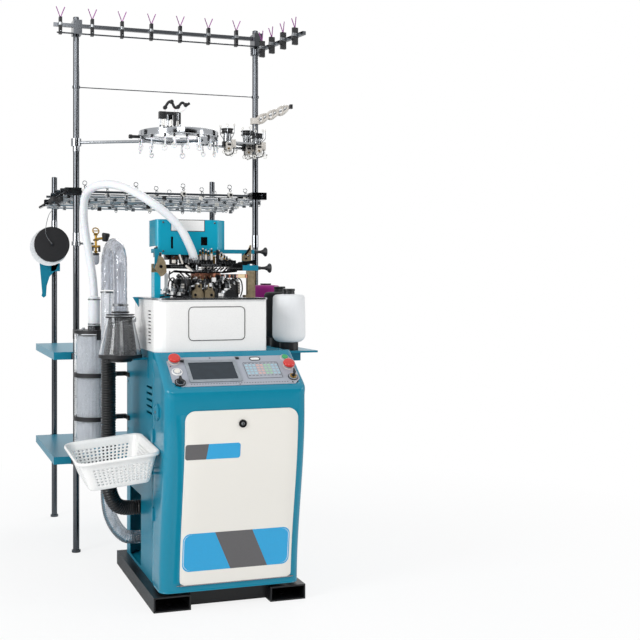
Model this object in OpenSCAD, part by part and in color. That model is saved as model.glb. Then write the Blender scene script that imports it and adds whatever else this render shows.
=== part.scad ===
// Circular sock knitting machine with its suction pipes, sock basket and yarn creel.
// X runs along the front, Y to the back, Z up. The origin is on the floor, midway between
// the four anchor holes, and the needle cylinder stands on the Z axis.

/* [Base rails] */
// Length of each base rail, front to back
rail_len = 634; // [560:1:700]
// Width of one base rail
rail_w = 125; // [100:1:150]
// Height of the base rails
rail_h = 50; // [40:1:60]
// Wall of the base rails
rail_wall = 5; // [3:0.5:8]
// Distance between the centre lines of the two rails
rail_gauge = 400; // [380:1:420]
// Diameter of the floor anchor holes
anchor_d = 14; // [10:1:18]
// Distance between the front and rear anchor holes
anchor_span = 520; // [480:1:560]

/* [Cabinet] */
// Width of the cabinet
cab_w = 460; // [440:1:470]
// Distance from the cylinder axis to the front of the cabinet
cab_front = 197; // [180:1:205]
// Distance from the cylinder axis to the back of the cabinet
cab_back = 284; // [260:1:300]
// Height of the cabinet's top above the floor
cab_top = 838; // [820:1:860]
// Thickness of the cabinet's sheet
sheet_t = 3; // [2:0.5:5]
// Height of the hose slot above the cabinet's floor
slot_h = 254; // [220:1:300]
// Length of the hose slot, front to back
slot_len = 196; // [180:1:220]

/* [Front cover] */
// Width of the moulded front cover
cover_w = 480; // [470:1:500]
// Distance from the cylinder axis to the cover's foot
cover_foot_y = 321; // [310:1:330]
// How far the cover's nose stands out beyond its foot
nose_out = 73; // [50:1:85]
// Wall of the front cover
cover_t = 5; // [3:0.5:7]
// Radius of the cover's upright front corners
cover_r = 48; // [30:1:55]
// Slope of the control panel from level, in degrees
panel_tilt = 35.4; // [30:0.1:38]
// Width of the front door
door_w = 383; // [350:1:390]
// Height of the front door
door_h = 579; // [540:1:590]
// Thickness of the front door
door_t = 6; // [5:0.5:8]

/* [Controls] */
// Width of the display
lcd_w = 153; // [140:1:156]
// Height of the display
lcd_h = 86; // [80:1:90]
// Radius of the emergency stop heads
estop_r = 20; // [18:0.5:21]
// Radius of the round push buttons
button_r = 10; // [8:0.5:11]
// Travel of the emergency stops
estop_travel = 5; // [3:0.5:5]
// Travel of the push buttons
button_travel = 3; // [2:0.5:4]

/* [Knitting head] */
// Height of the top of the machine bed
bed_top = 1019; // [1010:1:1030]
// Thickness of the machine bed
bed_t = 18; // [14:1:22]
// Radius of the needle cylinder
cyl_r = 47.5; // [45:0.5:50]
// Height of the needle cylinder's top
cyl_top = 1092; // [1088:1:1094]
// Number of needles drawn
needle_count = 42; // [24:2:60]
// Radius of the dial
dial_r = 46; // [42:0.5:46]
// Pitch radius of the cylinder's drive pulley
drive_r = 50; // [48:0.5:54]
// Pitch radius of the motor's pulley
pinion_r = 20; // [16:0.5:22]
// Height of the pivot that the head lifts about
pivot_z = 1126.6; // [1124:0.1:1130]
// Radius of the head's pivot pin
pivot_r = 6; // [5:0.5:7]

/* [Suction and sock pipes] */
// Outside diameter of the white suction hose
suction_d = 30; // [26:1:34]
// Outside diameter of the clear bend and the sock pipe
sock_d = 48; // [42:1:50]
// Outside diameter of the black air hose
air_d = 53; // [48:1:54]
// Outside diameter of the waste tank
tank_d = 154; // [140:1:160]
// Height of the waste tank's tube
tank_h = 480; // [440:1:500]
// Radius of the sock receiver's flange
receiver_r = 73; // [68:1:75]
// Length of the basket, front to back
basket_l = 314; // [290:1:320]
// Width of the basket
basket_w = 258; // [240:1:262]
// Depth of the basket
basket_h = 100; // [85:1:105]
// Wall of the basket
basket_t = 2.5; // [2:0.5:4]

/* [Creel] */
// Diameter of the creel's poles
pole_d = 25; // [22:1:28]
// Height of the two tall poles
tall_h = 2124; // [2100:1:2150]
// Height of the two short poles
short_h = 1550; // [1500:1:1600]
// Distance between the left and right poles
pole_gauge = 749; // [740:1:760]
// Distance between the front and rear poles
pole_depth = 660; // [640:1:680]
// Width of the yarn shelves
shelf_w = 920; // [900:1:940]
// Depth of the lip around each shelf
shelf_lip = 30; // [24:1:36]
// Height of the upper shelf
shelf_hi = 793; // [780:1:810]
// Height of the lower shelf
shelf_lo = 377; // [360:1:400]
// Radius of the feeder ring
ring_r = 150; // [140:1:156]
// Height of the feeder ring's band
ring_h = 22; // [18:1:26]
// Radius of the feeder wheels
wheel_r = 26; // [22:1:27]

/* [Fits] */
// Radial clearance of a turning or sliding fit
fit = 0.05; // [0.03:0.01:0.08]
// Gap between pieces that only lie beside each other
seat = 0.3; // [0.2:0.05:0.4]

/* [Hidden] */
$fn = 48;
far = 1;
teal = "#0f9db8";
white = "#eceae6";
black = "#1c1d1f";
steel = "#b9bcc0";
chrome = "#d5d8da";
tan = "#a8977c";
copper = "#a4603f";
grey = "#8c979e";
clear = "#cdd6e4";

// Cabinet and front cover
cab_x = cab_w / 2;
cab_len = cab_front + cab_back;
slot_front = 32;
slot_z = rail_h + 10;
post_w = 25;
cover_back = cab_front;
cover_bot = rail_h + 10;
nose_z = 640;
nose_y = cover_foot_y + nose_out;
nose_r = 22;
ridge_y = 235;
panel_mid = 12;
door_x = 13.5;
door_z = 81;
door_gap = 0.5;
hinge_r = door_t / 2;
hinge_z = door_z + hinge_r;
hinge_y = -(cover_foot_y + 2 * door_gap + hinge_r);
lock_z = 615;
ear_w = 10;

// Front of the cover at height z: upright at the foot and the nose, leaning out between them
function ease(t) = let (c = min(1, max(0, t))) c * c * (3 - 2 * c);
function front_y(z) = cover_foot_y + nose_out * ease((z - cover_bot) / (nose_z - cover_bot));
slope_foot_y = nose_y - nose_r + nose_r * sin(panel_tilt);
slope_foot_z = cab_top - (slope_foot_y - ridge_y) * tan(panel_tilt);
nose_top_z = slope_foot_z - nose_r * cos(panel_tilt);

// Points along an arc, and a rectangle whose four corners have their own radii
function arc(c, r, a0, a1, n = 6) = [for (i = [0:n]) let (a = a0 + (a1 - a0) * i / n)
    [c[0] + r * cos(a), c[1] + r * sin(a)]];
function box_arcs(x0, y0, x1, y1, r) = concat(
    arc([x0 + r[0], y0 + r[0]], r[0], 180, 270), arc([x1 - r[1], y0 + r[1]], r[1], 270, 360),
    arc([x1 - r[2], y1 - r[2]], r[2], 0, 90), arc([x0 + r[3], y1 - r[3]], r[3], 90, 180));

// A tube swept along a smooth curve through route points; up must never lie along the curve
function spline(p, m) = [for (i = [0:len(p) - 2]) for (k = [0:m - 1])
    let (t = k / m, a = p[max(i - 1, 0)], b = p[i], c = p[i + 1], d = p[min(i + 2, len(p) - 1)])
    0.5 * (2 * b + (c - a) * t + (2 * a - 5 * b + 4 * c - d) * t * t
        + (3 * b - a - 3 * c + d) * t * t * t)];
function unit(v) = v / norm(v);
function tangent(q, i) = unit(q[min(i + 1, len(q) - 1)] - q[max(i - 1, 0)]);
module swept_tube(route, r, up, sides = 12, m = 3) {
    q = concat(spline(route, m), [route[len(route) - 1]]);
    pts = [for (i = [0:len(q) - 1]) let (t = tangent(q, i), s = unit(cross(up, t)), w = cross(t, s))
        for (j = [0:sides - 1]) let (a = 360 * j / sides) q[i] + r * (s * cos(a) + w * sin(a))];
    rings = len(q);
    polyhedron(points = pts, faces = concat(
        [[for (j = [0:sides - 1]) j]],
        [[for (j = [0:sides - 1]) (rings - 1) * sides + sides - 1 - j]],
        [for (i = [0:rings - 2]) for (j = [0:sides - 1]) let (k = (j + 1) % sides)
            [i * sides + j, (i + 1) * sides + j, (i + 1) * sides + k]],
        [for (i = [0:rings - 2]) for (j = [0:sides - 1]) let (k = (j + 1) % sides)
            [i * sides + j, (i + 1) * sides + k, i * sides + k]]));
}
module rod(a, b, r) {
    v = b - a;
    translate(a) rotate([0, acos(v[2] / norm(v)), atan2(v[1], v[0])]) cylinder(r = r, h = norm(v));
}
module tube(r_out, r_in, h) {
    difference() {
        cylinder(r = r_out, h = h);
        translate([0, 0, -far]) cylinder(r = r_in, h = h + 2 * far);
    }
}
// An upright outline in X and Z, given a thickness towards the back
module plate_xz(pts, y, t) {
    translate([0, y + t, 0]) rotate([90, 0, 0]) linear_extrude(t) polygon(pts);
}

// Base rails with the cross members that join them
cross_y = [-anchor_span / 2 - 20, -20, anchor_span / 2 - 20];
module base_frame() {
    color(teal) difference() {
        union() {
            for (s = [-1, 1]) translate([s * rail_gauge / 2 - rail_w / 2, -rail_len / 2, 0])
                cube([rail_w, rail_len, rail_h]);
            for (y = cross_y) translate([-rail_gauge / 2, y, rail_wall]) cube([rail_gauge, 40, rail_h - rail_wall]);
        }
        for (s = [-1, 1]) {
            translate([s * rail_gauge / 2 - rail_w / 2 + rail_wall, -rail_len / 2 - far, rail_wall])
                cube([rail_w - 2 * rail_wall, rail_len + 2 * far, rail_h - 2 * rail_wall]);
            for (t = [-1, 1]) translate([s * rail_gauge / 2, t * anchor_span / 2, -far])
                cylinder(d = anchor_d, h = rail_wall + 2 * far);
        }
    }
}

// Cabinet: folded sides and back on corner posts, with a floor and a ring that carries the bed
vent_n = 9;
module side_wall() {
    cube([sheet_t, cab_len, cab_top - rail_h]);
}
module cabinet() {
    color(teal) difference() {
        translate([-cab_x, -cab_front, rail_h]) union() {
            side_wall();
            translate([cab_w - sheet_t, 0, 0]) side_wall();
            translate([0, cab_len - sheet_t, 0]) cube([cab_w, sheet_t, cab_top - rail_h]);
            cube([cab_w, cab_len, sheet_t]);
            for (x = [0, cab_w - post_w]) for (y = [0, cab_len - post_w])
                translate([x, y, 0]) cube([post_w, post_w, cab_top - rail_h]);
            translate([0, 0, cab_top - rail_h - 12]) difference() {
                cube([cab_w, cab_len, 12]);
                translate([70, 47, -far]) cube([260, 264, 12 + 2 * far]);
            }
        }
        translate([-cab_x - far, slot_front, slot_z]) cube([sheet_t + 2 * far, slot_len, slot_h]);
        for (i = [0:vent_n - 1]) {
            translate([cab_x - sheet_t - far, -90, 520 + 22 * i]) cube([sheet_t + 2 * far, 200, 8]);
            translate([-110, cab_back - sheet_t - far, 520 + 22 * i]) cube([220, sheet_t + 2 * far, 8]);
        }
        for (i = [0:4]) translate([-cab_x - far, -150, 620 + 22 * i]) cube([sheet_t + 2 * far, 90, 8]);
    }
}

// Front cover: a moulded shell whose level sections are rounded rectangles
function cover_edge(z) = z <= nose_z ? front_y(z)
    : z <= nose_top_z ? nose_y
    : z <= slope_foot_z ? nose_y - nose_r + sqrt(max(0, pow(nose_r, 2) - pow(z - nose_top_z, 2)))
    : slope_foot_y - (z - slope_foot_z) / tan(panel_tilt);
cover_levels = concat([for (i = [0:16]) cover_bot + (nose_z - cover_bot) * i / 16],
    [nose_top_z, nose_top_z + nose_r * 0.45, slope_foot_z],
    [slope_foot_z + (cab_top - slope_foot_z) / 2, cab_top]);
module cover_body(inset, z_add) {
    half = cover_w / 2 - inset;
    n = 7;
    rings = [for (z = cover_levels) let (y = cover_edge(z) - inset, zz = z - z_add,
        r = min(cover_r - inset, y - cover_back - 1)) concat(
        [[-half, -cover_back + z_add, zz]],
        [for (p = arc([r - half, r - y], r, 180, 270, n)) [p[0], p[1], zz]],
        [for (p = arc([half - r, r - y], r, 270, 360, n)) [p[0], p[1], zz]],
        [[half, -cover_back + z_add, zz]])];
    k = len(rings[0]);
    levels = len(rings);
    polyhedron(points = [for (r = rings) for (p = r) p], faces = concat(
        [[for (j = [0:k - 1]) j]],
        [[for (j = [0:k - 1]) (levels - 1) * k + k - 1 - j]],
        [for (i = [0:levels - 2]) for (j = [0:k - 1]) let (m = (j + 1) % k)
            [i * k + j, (i + 1) * k + j, (i + 1) * k + m]],
        [for (i = [0:levels - 2]) for (j = [0:k - 1]) let (m = (j + 1) % k)
            [i * k + j, (i + 1) * k + m, i * k + m]]));
}
module front_cover() {
    color(teal) union() {
        difference() {
            cover_body(0, 0);
            cover_body(cover_t, cover_t);
            translate([door_x - door_w / 2 + 12, -nose_y - 50, door_z + 14])
                cube([door_w - 24, nose_y - cover_foot_y + 90, door_h - 26]);
            on_panel() translate([0, 0, -40]) for (s = SWITCHES)
                translate([s[0], s[1], 0]) cylinder(r = barrel_r + 1, h = 60);
            on_panel() translate([lcd_mid[0] - lcd_w / 2 + 5, lcd_mid[1] - lcd_h / 2 + 5, -40])
                cube([lcd_w - 10, lcd_h - 10, 60]);
        }
        for (s = [-1, 1]) translate([door_x + s * (door_w / 2 + seat + ear_w / 2), hinge_y, hinge_z])
            difference() {
                translate([-ear_w / 2, -hinge_r - 2, -6]) cube([ear_w, hinge_r + 16, 12]);
                translate([-ear_w, 0, 0]) rotate([0, 90, 0]) cylinder(r = door_pin_r + fit, h = 2 * ear_w, $fn = 32);
            }
        for (s = [-1, 1]) translate([s * (cab_x - 6) - 11, -cover_back - 4, cover_bot]) cube([22, 4, cab_top - cover_bot]);
    }
}

// Front door: a curved panel that follows the cover, hinged along its lower edge
door_pin_r = 1.5;
module door_band(y_in, y_out) {
    n = 14;
    zs = [for (i = [0:n]) hinge_z + (door_h - hinge_r) * i / n];
    rotate([90, 0, 90]) linear_extrude(door_w) polygon(concat(
        [for (z = zs) [-(front_y(z) + y_in), z]],
        [for (i = [n:-1:0]) [-(front_y(zs[i]) + y_out), zs[i]]]));
}
module front_door() {
    top = door_z + door_h;
    color(white) difference() {
        union() {
            intersection() {
                translate([door_x - door_w / 2, 0, 0]) door_band(door_gap, door_gap + door_t);
                plate_xz(box_arcs(door_x - door_w / 2, door_z - 20, door_x + door_w / 2, top,
                    [2, 2, 34, 34]), -nose_y - 40, 160);
            }
            translate([door_x - door_w / 2, hinge_y, hinge_z]) rotate([0, 90, 0])
                cylinder(r = hinge_r, h = door_w);
            translate([door_x - door_w / 2 - seat - ear_w, hinge_y, hinge_z]) rotate([0, 90, 0])
                cylinder(r = door_pin_r, h = door_w + 2 * (seat + ear_w), $fn = 32);
        }
        translate([door_x, -nose_y - 60, lock_z]) rotate([-90, 0, 0])
            cylinder(r = lock_r + fit, h = 140);
    }
}
lock_r = 9;
lock_face = front_y(lock_z) + door_gap + door_t;
module door_lock() {
    color(steel) translate([door_x, -lock_face, lock_z]) rotate([-90, 0, 0]) difference() {
        union() {
            translate([0, 0, -2]) cylinder(r = lock_r, h = 25);
            translate([0, 0, -4]) cylinder(r = lock_r + 4, h = 3);
            translate([-6, -7, 20]) cube([46, 14, 3]);
        }
        translate([-0.8, -5, -4]) cube([1.6, 10, 6]);
    }
}

// Control panel: a plate on the slope, with a guide barrel and a contact block for each switch
module on_panel() {
    translate([0, -(slope_foot_y + ridge_y) / 2, (slope_foot_z + cab_top) / 2])
        rotate([panel_tilt, 0, 0]) children();
}
plate_t = 2;
barrel_r = 12.5;
barrel_deep = 30;
bezel_r = 14.5;
bezel_h = 3;
left_col = panel_mid - 198;
right_col = panel_mid + 192;
lcd_mid = [-64.5, -12.3];
// Each switch: its place on the panel and the radius of its stem
SWITCHES = [[left_col, 43, 8], [right_col, 4, 8], [right_col, 49, button_r],
    [left_col, -12, button_r], [left_col, -64, 5], [right_col, -52, 8]];
module control_panel() {
    color(grey) on_panel() difference() {
        union() {
            translate([0, 0, seat]) linear_extrude(plate_t) polygon([[-172, 62], [214, 62], [226, 44],
                [226, -60], [204, -84], [-184, -84], [-210, -60], [-210, 44]]);
            translate([108 - 62, -13 - 42, seat + plate_t]) cube([124, 84, 0.8]);
            for (s = SWITCHES) translate([s[0], s[1], 0]) {
                translate([0, 0, -barrel_deep]) cylinder(r = barrel_r, h = barrel_deep + seat + plate_t);
                cylinder(r = bezel_r, h = seat + plate_t + bezel_h);
                translate([-15, -15, -barrel_deep - 22]) cube([30, 30, 22]);
            }
        }
        for (s = SWITCHES) translate([s[0], s[1], -barrel_deep])
            cylinder(r = s[2] + fit, h = barrel_deep + 20);
        translate([lcd_mid[0] - lcd_w / 2 + 5, lcd_mid[1] - lcd_h / 2 + 5, -far])
            cube([lcd_w - 10, lcd_h - 10, plate_t + 2 * far]);
    }
}
panel_top = seat + plate_t;
module lcd_screen() {
    color(black) on_panel() union() {
        translate([lcd_mid[0] - lcd_w / 2, lcd_mid[1] - lcd_h / 2, panel_top])
            cube([lcd_w, lcd_h, 2]);
        translate([lcd_mid[0] - lcd_w / 2 + 6, lcd_mid[1] - lcd_h / 2 + 6, panel_top - 14])
            cube([lcd_w - 12, lcd_h - 12, 14 + far]);
    }
}
stem_deep = 18;
module on_switch(i) {
    on_panel() translate([SWITCHES[i][0], SWITCHES[i][1], panel_top]) children();
}
module estop(i) {
    rise = bezel_h + estop_travel + 1;
    color("#c8372d") on_switch(i) rotate_extrude() polygon(concat([[0, -stem_deep], [8, -stem_deep],
        [8, rise], [estop_r - 2, rise], [estop_r, rise + 3]],
        arc([estop_r - 6, rise + 6], 6, 0, 80, 4), [[0, rise + 13]]));
}
module estop_left() {
    estop(0);
}
module estop_right() {
    estop(1);
}
module push_button(i, c) {
    color(c) on_switch(i) translate([0, 0, -stem_deep])
        cylinder(r = button_r, h = stem_deep + bezel_h + button_travel + 0.5);
}
module start_button() {
    push_button(2, "#3fa060");
}
module white_button() {
    push_button(3, white);
}
module selector_knob() {
    color(black) on_switch(4) union() {
        translate([0, 0, -stem_deep]) cylinder(r = 5, h = stem_deep + bezel_h + 1);
        translate([0, 0, bezel_h + seat]) cylinder(r = 12, h = 6);
        translate([-3.5, -12, bezel_h + 6]) cube([7, 24, 10]);
    }
}
module key_switch() {
    color(steel) on_switch(5) union() {
        translate([0, 0, -stem_deep]) cylinder(r = 8, h = stem_deep + bezel_h + 4);
        translate([-1.2, -4, bezel_h + 3]) cube([2.4, 8, 10]);
        translate([-1.2, -10, bezel_h + 12]) cube([2.4, 20, 16]);
    }
}

// Machine bed on four legs, with the white sheet cover around it
skirt_x0 = -235;
skirt_x1 = 157;
skirt_y0 = -225;
skirt_y1 = 119;
skirt_t = 2.5;
skirt_r = 48;
skirt_top = bed_top - 6;
skirt_bot = cab_top + seat;
leg_w = 34;
module bed_outline(grow, h) {
    linear_extrude(h) polygon(box_arcs(skirt_x0 - grow, skirt_y0 - grow, skirt_x1 + grow,
        skirt_y1 + grow, [skirt_r, 12, 8, 8]));
}
housing_r = 55;
module bed_plate() {
    in = skirt_t + seat;
    color(steel) difference() {
        union() {
            translate([0, 0, skirt_top]) bed_outline(3, bed_top - skirt_top);
            translate([0, 0, bed_top - bed_t]) linear_extrude(bed_t) polygon(box_arcs(skirt_x0 + in,
                skirt_y0 + in, skirt_x1 - in, skirt_y1 - in, [skirt_r, 12, 8, 8]));
            for (x = [-200, 140 - leg_w]) for (y = [-190, 80])
                translate([x, y, cab_top]) cube([leg_w, leg_w, bed_top - bed_t - cab_top + far]);
        }
        translate([0, 0, bed_top - bed_t - far]) cylinder(r = housing_r + 0.5, h = bed_t + 2 * far);
    }
}
module head_cover() {
    h = skirt_top - skirt_bot;
    color(white) difference() {
        union() {
            translate([0, 0, skirt_bot]) bed_outline(0, h);
            plate_xz(box_arcs(-120, 878, 74, 987, [14, 14, 14, 14]), skirt_y0 - 1, 2);
        }
        translate([0, 0, skirt_bot - far]) linear_extrude(h + 2 * far) polygon(concat(
            arc([skirt_x0 + skirt_r, skirt_y0 + skirt_r], skirt_r - skirt_t, 180, 270),
            arc([skirt_x1 - 12, skirt_y0 + 12], 12 - skirt_t, 270, 360), [[skirt_x1 - skirt_t,
            skirt_y1 - skirt_t], [skirt_x0 + skirt_t, skirt_y1 - skirt_t]]));
        for (i = [0:9]) translate([skirt_x0 - far, -150, 864 + 12 * i]) cube([skirt_t + 2 * far, 46, 4]);
    }
}

// Drive: servo motor, toothed belt and the hollow shaft that carries the needle cylinder
motor_x = -110;
motor_y = 70;
motor_w = 80;
belt_z = 947;
belt_w = 22;
belt_t = 3;
shaft_r = 38;
shaft_in = 33;
mount_z = belt_z - 9;
module servo_motor() {
    color(black) difference() {
        translate([motor_x, motor_y, 0]) union() {
            translate([-motor_w / 2, -motor_w / 2, mount_z - 120]) cube([motor_w, motor_w, 120]);
            translate([-motor_w / 2, -motor_w / 2 - 10, mount_z]) cube([motor_w, motor_w + 10, 6]);
            for (y = [-motor_w / 2 - 10, motor_w / 2 - 8]) translate([-motor_w / 2, y, mount_z])
                cube([16, 8, bed_top - bed_t - mount_z]);
        }
        translate([motor_x, motor_y, mount_z - 30]) cylinder(r = 7 + fit, h = 60);
    }
}
module motor_pulley() {
    color(steel) translate([motor_x, motor_y, 0]) union() {
        translate([0, 0, mount_z - 28]) cylinder(r = 7, h = 28 + 9 + belt_w);
        translate([0, 0, belt_z]) cylinder(r = pinion_r - 0.8, h = belt_w);
        translate([0, 0, belt_z - 1.5]) cylinder(r = pinion_r + belt_t, h = 1.2);
    }
}
module belt_outline(grow) {
    hull() {
        translate([motor_x, motor_y]) circle(r = pinion_r + grow, $fn = 32);
        circle(r = drive_r + grow, $fn = 64);
    }
}
module drive_belt() {
    color(black) translate([0, 0, belt_z + 1]) linear_extrude(belt_w - 2) difference() {
        belt_outline(belt_t);
        belt_outline(0);
    }
}
module cylinder_pulley() {
    color(steel) difference() {
        union() {
            translate([0, 0, belt_z - 12]) cylinder(r = shaft_r, h = bed_top + 21 - belt_z + 12);
            translate([0, 0, belt_z]) cylinder(r = drive_r - 0.8, h = belt_w);
            translate([0, 0, belt_z - 1.5]) cylinder(r = drive_r + belt_t, h = 1.2);
            translate([0, 0, bed_top + 11]) cylinder(r = cyl_r - 1.5, h = 10);
        }
        translate([0, 0, belt_z - 13]) cylinder(r = shaft_in, h = 200);
    }
}
module bearing_housing() {
    color(steel) difference() {
        union() {
            translate([0, 0, bed_top - bed_t - 8]) cylinder(r = housing_r + 18, h = 8);
            translate([0, 0, belt_z + belt_w + 4]) cylinder(r = housing_r, h = bed_top + 8 - belt_z - belt_w - 4);
        }
        translate([0, 0, belt_z + belt_w]) cylinder(r = shaft_r + fit, h = 100);
    }
}
cyl_bot = bed_top + 21;
groove_w = 1.4;
groove_deep = 3;
needle_top = cyl_top + 4;
module around(n) {
    for (i = [0:n - 1]) rotate([0, 0, 360 * i / n]) children();
}
module needle_cylinder() {
    color(steel) difference() {
        translate([0, 0, cyl_bot]) cylinder(r = cyl_r, h = cyl_top - cyl_bot);
        translate([0, 0, cyl_bot - far]) cylinder(r = cyl_r - 8, h = cyl_top - cyl_bot + 2 * far);
        around(needle_count) translate([cyl_r - groove_deep, -groove_w / 2, cyl_bot + 6])
            cube([groove_deep + far, groove_w, 100]);
    }
}
module needles() {
    color(chrome) around(needle_count) translate([cyl_r - groove_deep + 0.1, -0.5, cyl_bot + 12]) union() {
        cube([2.2, 1, needle_top - cyl_bot - 12]);
        translate([0, 0, needle_top - cyl_bot - 14]) cube([3.4, 1, 2]);
    }
}

// Sinker cap with the arm that holds it, cam box, selectors and cam blocks
cap_r = 54;
cap_bot = 1084;
cap_top = 1108;
post_x0 = 124;
post_x1 = 152;
post_y = -110;
post_t = 20;
post_top = pivot_z - 13.6;
module sinker_cap() {
    color(copper) difference() {
        union() {
            translate([0, 0, cap_bot]) cylinder(r = cap_r, h = cap_top - cap_bot);
            hull() {
                translate([post_x0 - 2, post_y + 2, cap_bot + 4]) cube([2, 14, 12]);
                translate([cap_r * 0.7, -cap_r * 0.62, cap_bot + 4]) cylinder(r = 4, h = 12, $fn = 24);
            }
        }
        translate([0, 0, cap_bot - far]) cylinder(r = cyl_r + 1, h = cap_top - cap_bot + 2 * far);
    }
}
cam_out = 66;
module cam_box() {
    color(black) union() {
        translate([0, 0, bed_top]) tube(cam_out + 12, housing_r + 0.5, 12);
        translate([0, 0, bed_top + 12]) tube(cam_out, cyl_r + 1, cap_bot - 4 - bed_top - 12);
    }
    color(tan) {
        translate([0, 0, bed_top]) {
            plate_xz([[-76, 0], [-36, 0], [-36, 17], [-42, 25], [-43, 47], [-60, 50], [-64, 29], [-76, 21]], -102, 18);
            plate_xz([[-31, 0], [3, 0], [3, 19], [-3, 27], [-5, 45], [-20, 47], [-22, 29], [-31, 23]], -102, 18);
            plate_xz([[40, 0], [84, 0], [84, 17], [70, 29], [52, 27], [40, 15]], -102, 18);
        }
    }
}
// A selector: a black block with a row of thin jacks, facing the cylinder
selector_angles = [164, 190, 214, 328, 350, 20, 60, 104, 136];
module selector_units() {
    for (a = selector_angles) rotate([0, 0, a]) translate([cam_out + 18, 0, bed_top]) {
        color(black) difference() {
            translate([0, -13, 0]) cube([34, 26, 64]);
            for (i = [0:7]) translate([-far, -10, 6 + 7 * i]) cube([10, 20, 3]);
        }
        color(steel) translate([34, -7, 10]) cube([6, 14, 44]);
    }
}

// Left column and pivot plates, and the post that the lifted arm comes down on
pivot_x = -196.6;
arm_y = -98;
module pivot_column() {
    color(teal) difference() {
        union() {
            translate([-212, -104, bed_top]) cube([26, 50, pivot_z - 20 - bed_top]);
            translate([-212, -104, bed_top]) cube([56, 50, 14]);
        }
        translate([-190, -106, bed_top + 30]) cube([6, 60, 46]);
    }
}
module pivot_plates() {
    plate_z = pivot_z - 34.6;
    color(tan) union() {
        plate_xz([[-198, pivot_z + 38], [-184, pivot_z + 32], [-174, pivot_z + 15], [-170, pivot_z - 19],
            [-181, pivot_z - 31], [-191, plate_z], [-212, pivot_z - 6.6], [-204, pivot_z + 12]], -110, 6);
        translate([-212, -60, pivot_z - 20]) cube([28, 6, 30]);
        translate([pivot_x, -110 + 4, pivot_z]) rotate([-90, 0, 0]) cylinder(r = pivot_r, h = 54);
        translate([-204, -104, pivot_z - 20]) cube([12, 50, 4]);
    }
}
module latch_post() {
    color(tan) union() {
        translate([post_x0, post_y, bed_top]) cube([post_x1 - post_x0, post_t, post_top - bed_top - seat]);
        translate([post_x0 - 8, post_y, bed_top]) cube([post_x1 - post_x0 + 8, post_t + 16, 8]);
    }
}

// Dial arm, which lifts about the left pivot with the dial, the cutter and the finger units
dial_z = cap_top + 2;
bridge_z = dial_z + 17;
bridge_t = 11;
shaft_d = 16;
module dial_arm() {
    color(black) difference() {
        union() {
            translate([pivot_x, arm_y, pivot_z]) rotate([-90, 0, 0]) cylinder(r = 12, h = 12);
            translate([pivot_x, arm_y, pivot_z - 7]) cube([134, 12, 14]);
            translate([-110, arm_y, pivot_z - 7]) cube([44, 56, bridge_z + bridge_t - pivot_z + 7]);
            translate([-78, -64, bridge_z]) cube([156, 106, bridge_t]);
            translate([66, post_y, post_top]) cube([40, 60, bridge_z + bridge_t - post_top]);
            translate([106, post_y, post_top]) cube([58, post_t, 19]);
            translate([106, post_y + 6, post_top + 19]) cube([20, 4, 14]);
            cylinder_at(0, 0, bridge_z, 24, 40);
            translate([-66, -76, bridge_z - 8]) cube([20, 30, bridge_t + 8]);
            cylinder_at(-60, -66, bridge_z - 6, suction_d / 2, nozzle_top - bridge_z + 6);
        }
        translate([pivot_x, arm_y - far, pivot_z]) rotate([-90, 0, 0]) cylinder(r = pivot_r + fit, h = 20);
        cylinder_at(0, 0, bridge_z - far, shaft_d / 2 + fit, 60);
    }
}
module cylinder_at(x, y, z, r, h) {
    translate([x, y, z]) cylinder(r = r, h = h);
}
nozzle_top = 1146;
module finger_units() {
    z = bridge_z + bridge_t;
    color(chrome) {
        for (i = [0:4]) translate([-36 + 11 * i, -56 + 2 * (i % 2), z]) union() {
            cylinder(r = 4, h = 34, $fn = 24);
            translate([0, 0, 34]) cylinder(r = 2.2, h = 22, $fn = 20);
        }
        for (i = [0:3]) translate([34 + 11 * i, -56 + 2 * (i % 2), z]) union() {
            cylinder(r = 4, h = 36 - 4 * i, $fn = 24);
            translate([0, 0, 36 - 4 * i]) cylinder(r = 2.2, h = 22 - 3 * i, $fn = 20);
        }
    }
    color("#b58a3c") for (x = [-30, 30]) translate([x - 6, 14, z]) cube([12, 20, 26]);
}
module dial() {
    color(steel) union() {
        cylinder_at(0, 0, dial_z, dial_r, 6);
        cylinder_at(0, 0, dial_z + 6, shaft_d / 2, bridge_z + 50 - dial_z - 6);
        cylinder_at(0, 0, bridge_z + 40 + seat, 13, 8);
    }
}
tooth_n = 36;
saw_z = dial_z + 9;
module saw_ring() {
    color(steel) difference() {
        union() {
            cylinder_at(0, 0, saw_z, dial_r + 2, 2);
            around(tooth_n) translate([dial_r + 1.5, 0, saw_z]) rotate([0, 0, 30]) cube([3, 2.2, 2]);
            cylinder_at(0, 0, dial_z + 6, 14, saw_z - dial_z - 6 + 4);
        }
        cylinder_at(0, 0, dial_z, shaft_d / 2 + fit, 40);
    }
}
// Trumpet-shaped knob along X, with its foot at the origin
module trumpet() {
    color(black) rotate([0, 90, 0]) rotate_extrude() polygon([[0, 0], [6.5, 0], [6.5, 6], [5, 14], [5.5, 26],
        [9, 36], [15, 41], [17, 44], [16, 48], [0, 50]]);
}
module lower_knob() {
    translate([164, post_y + post_t / 2, post_top + 9.5]) trumpet();
}

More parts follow.
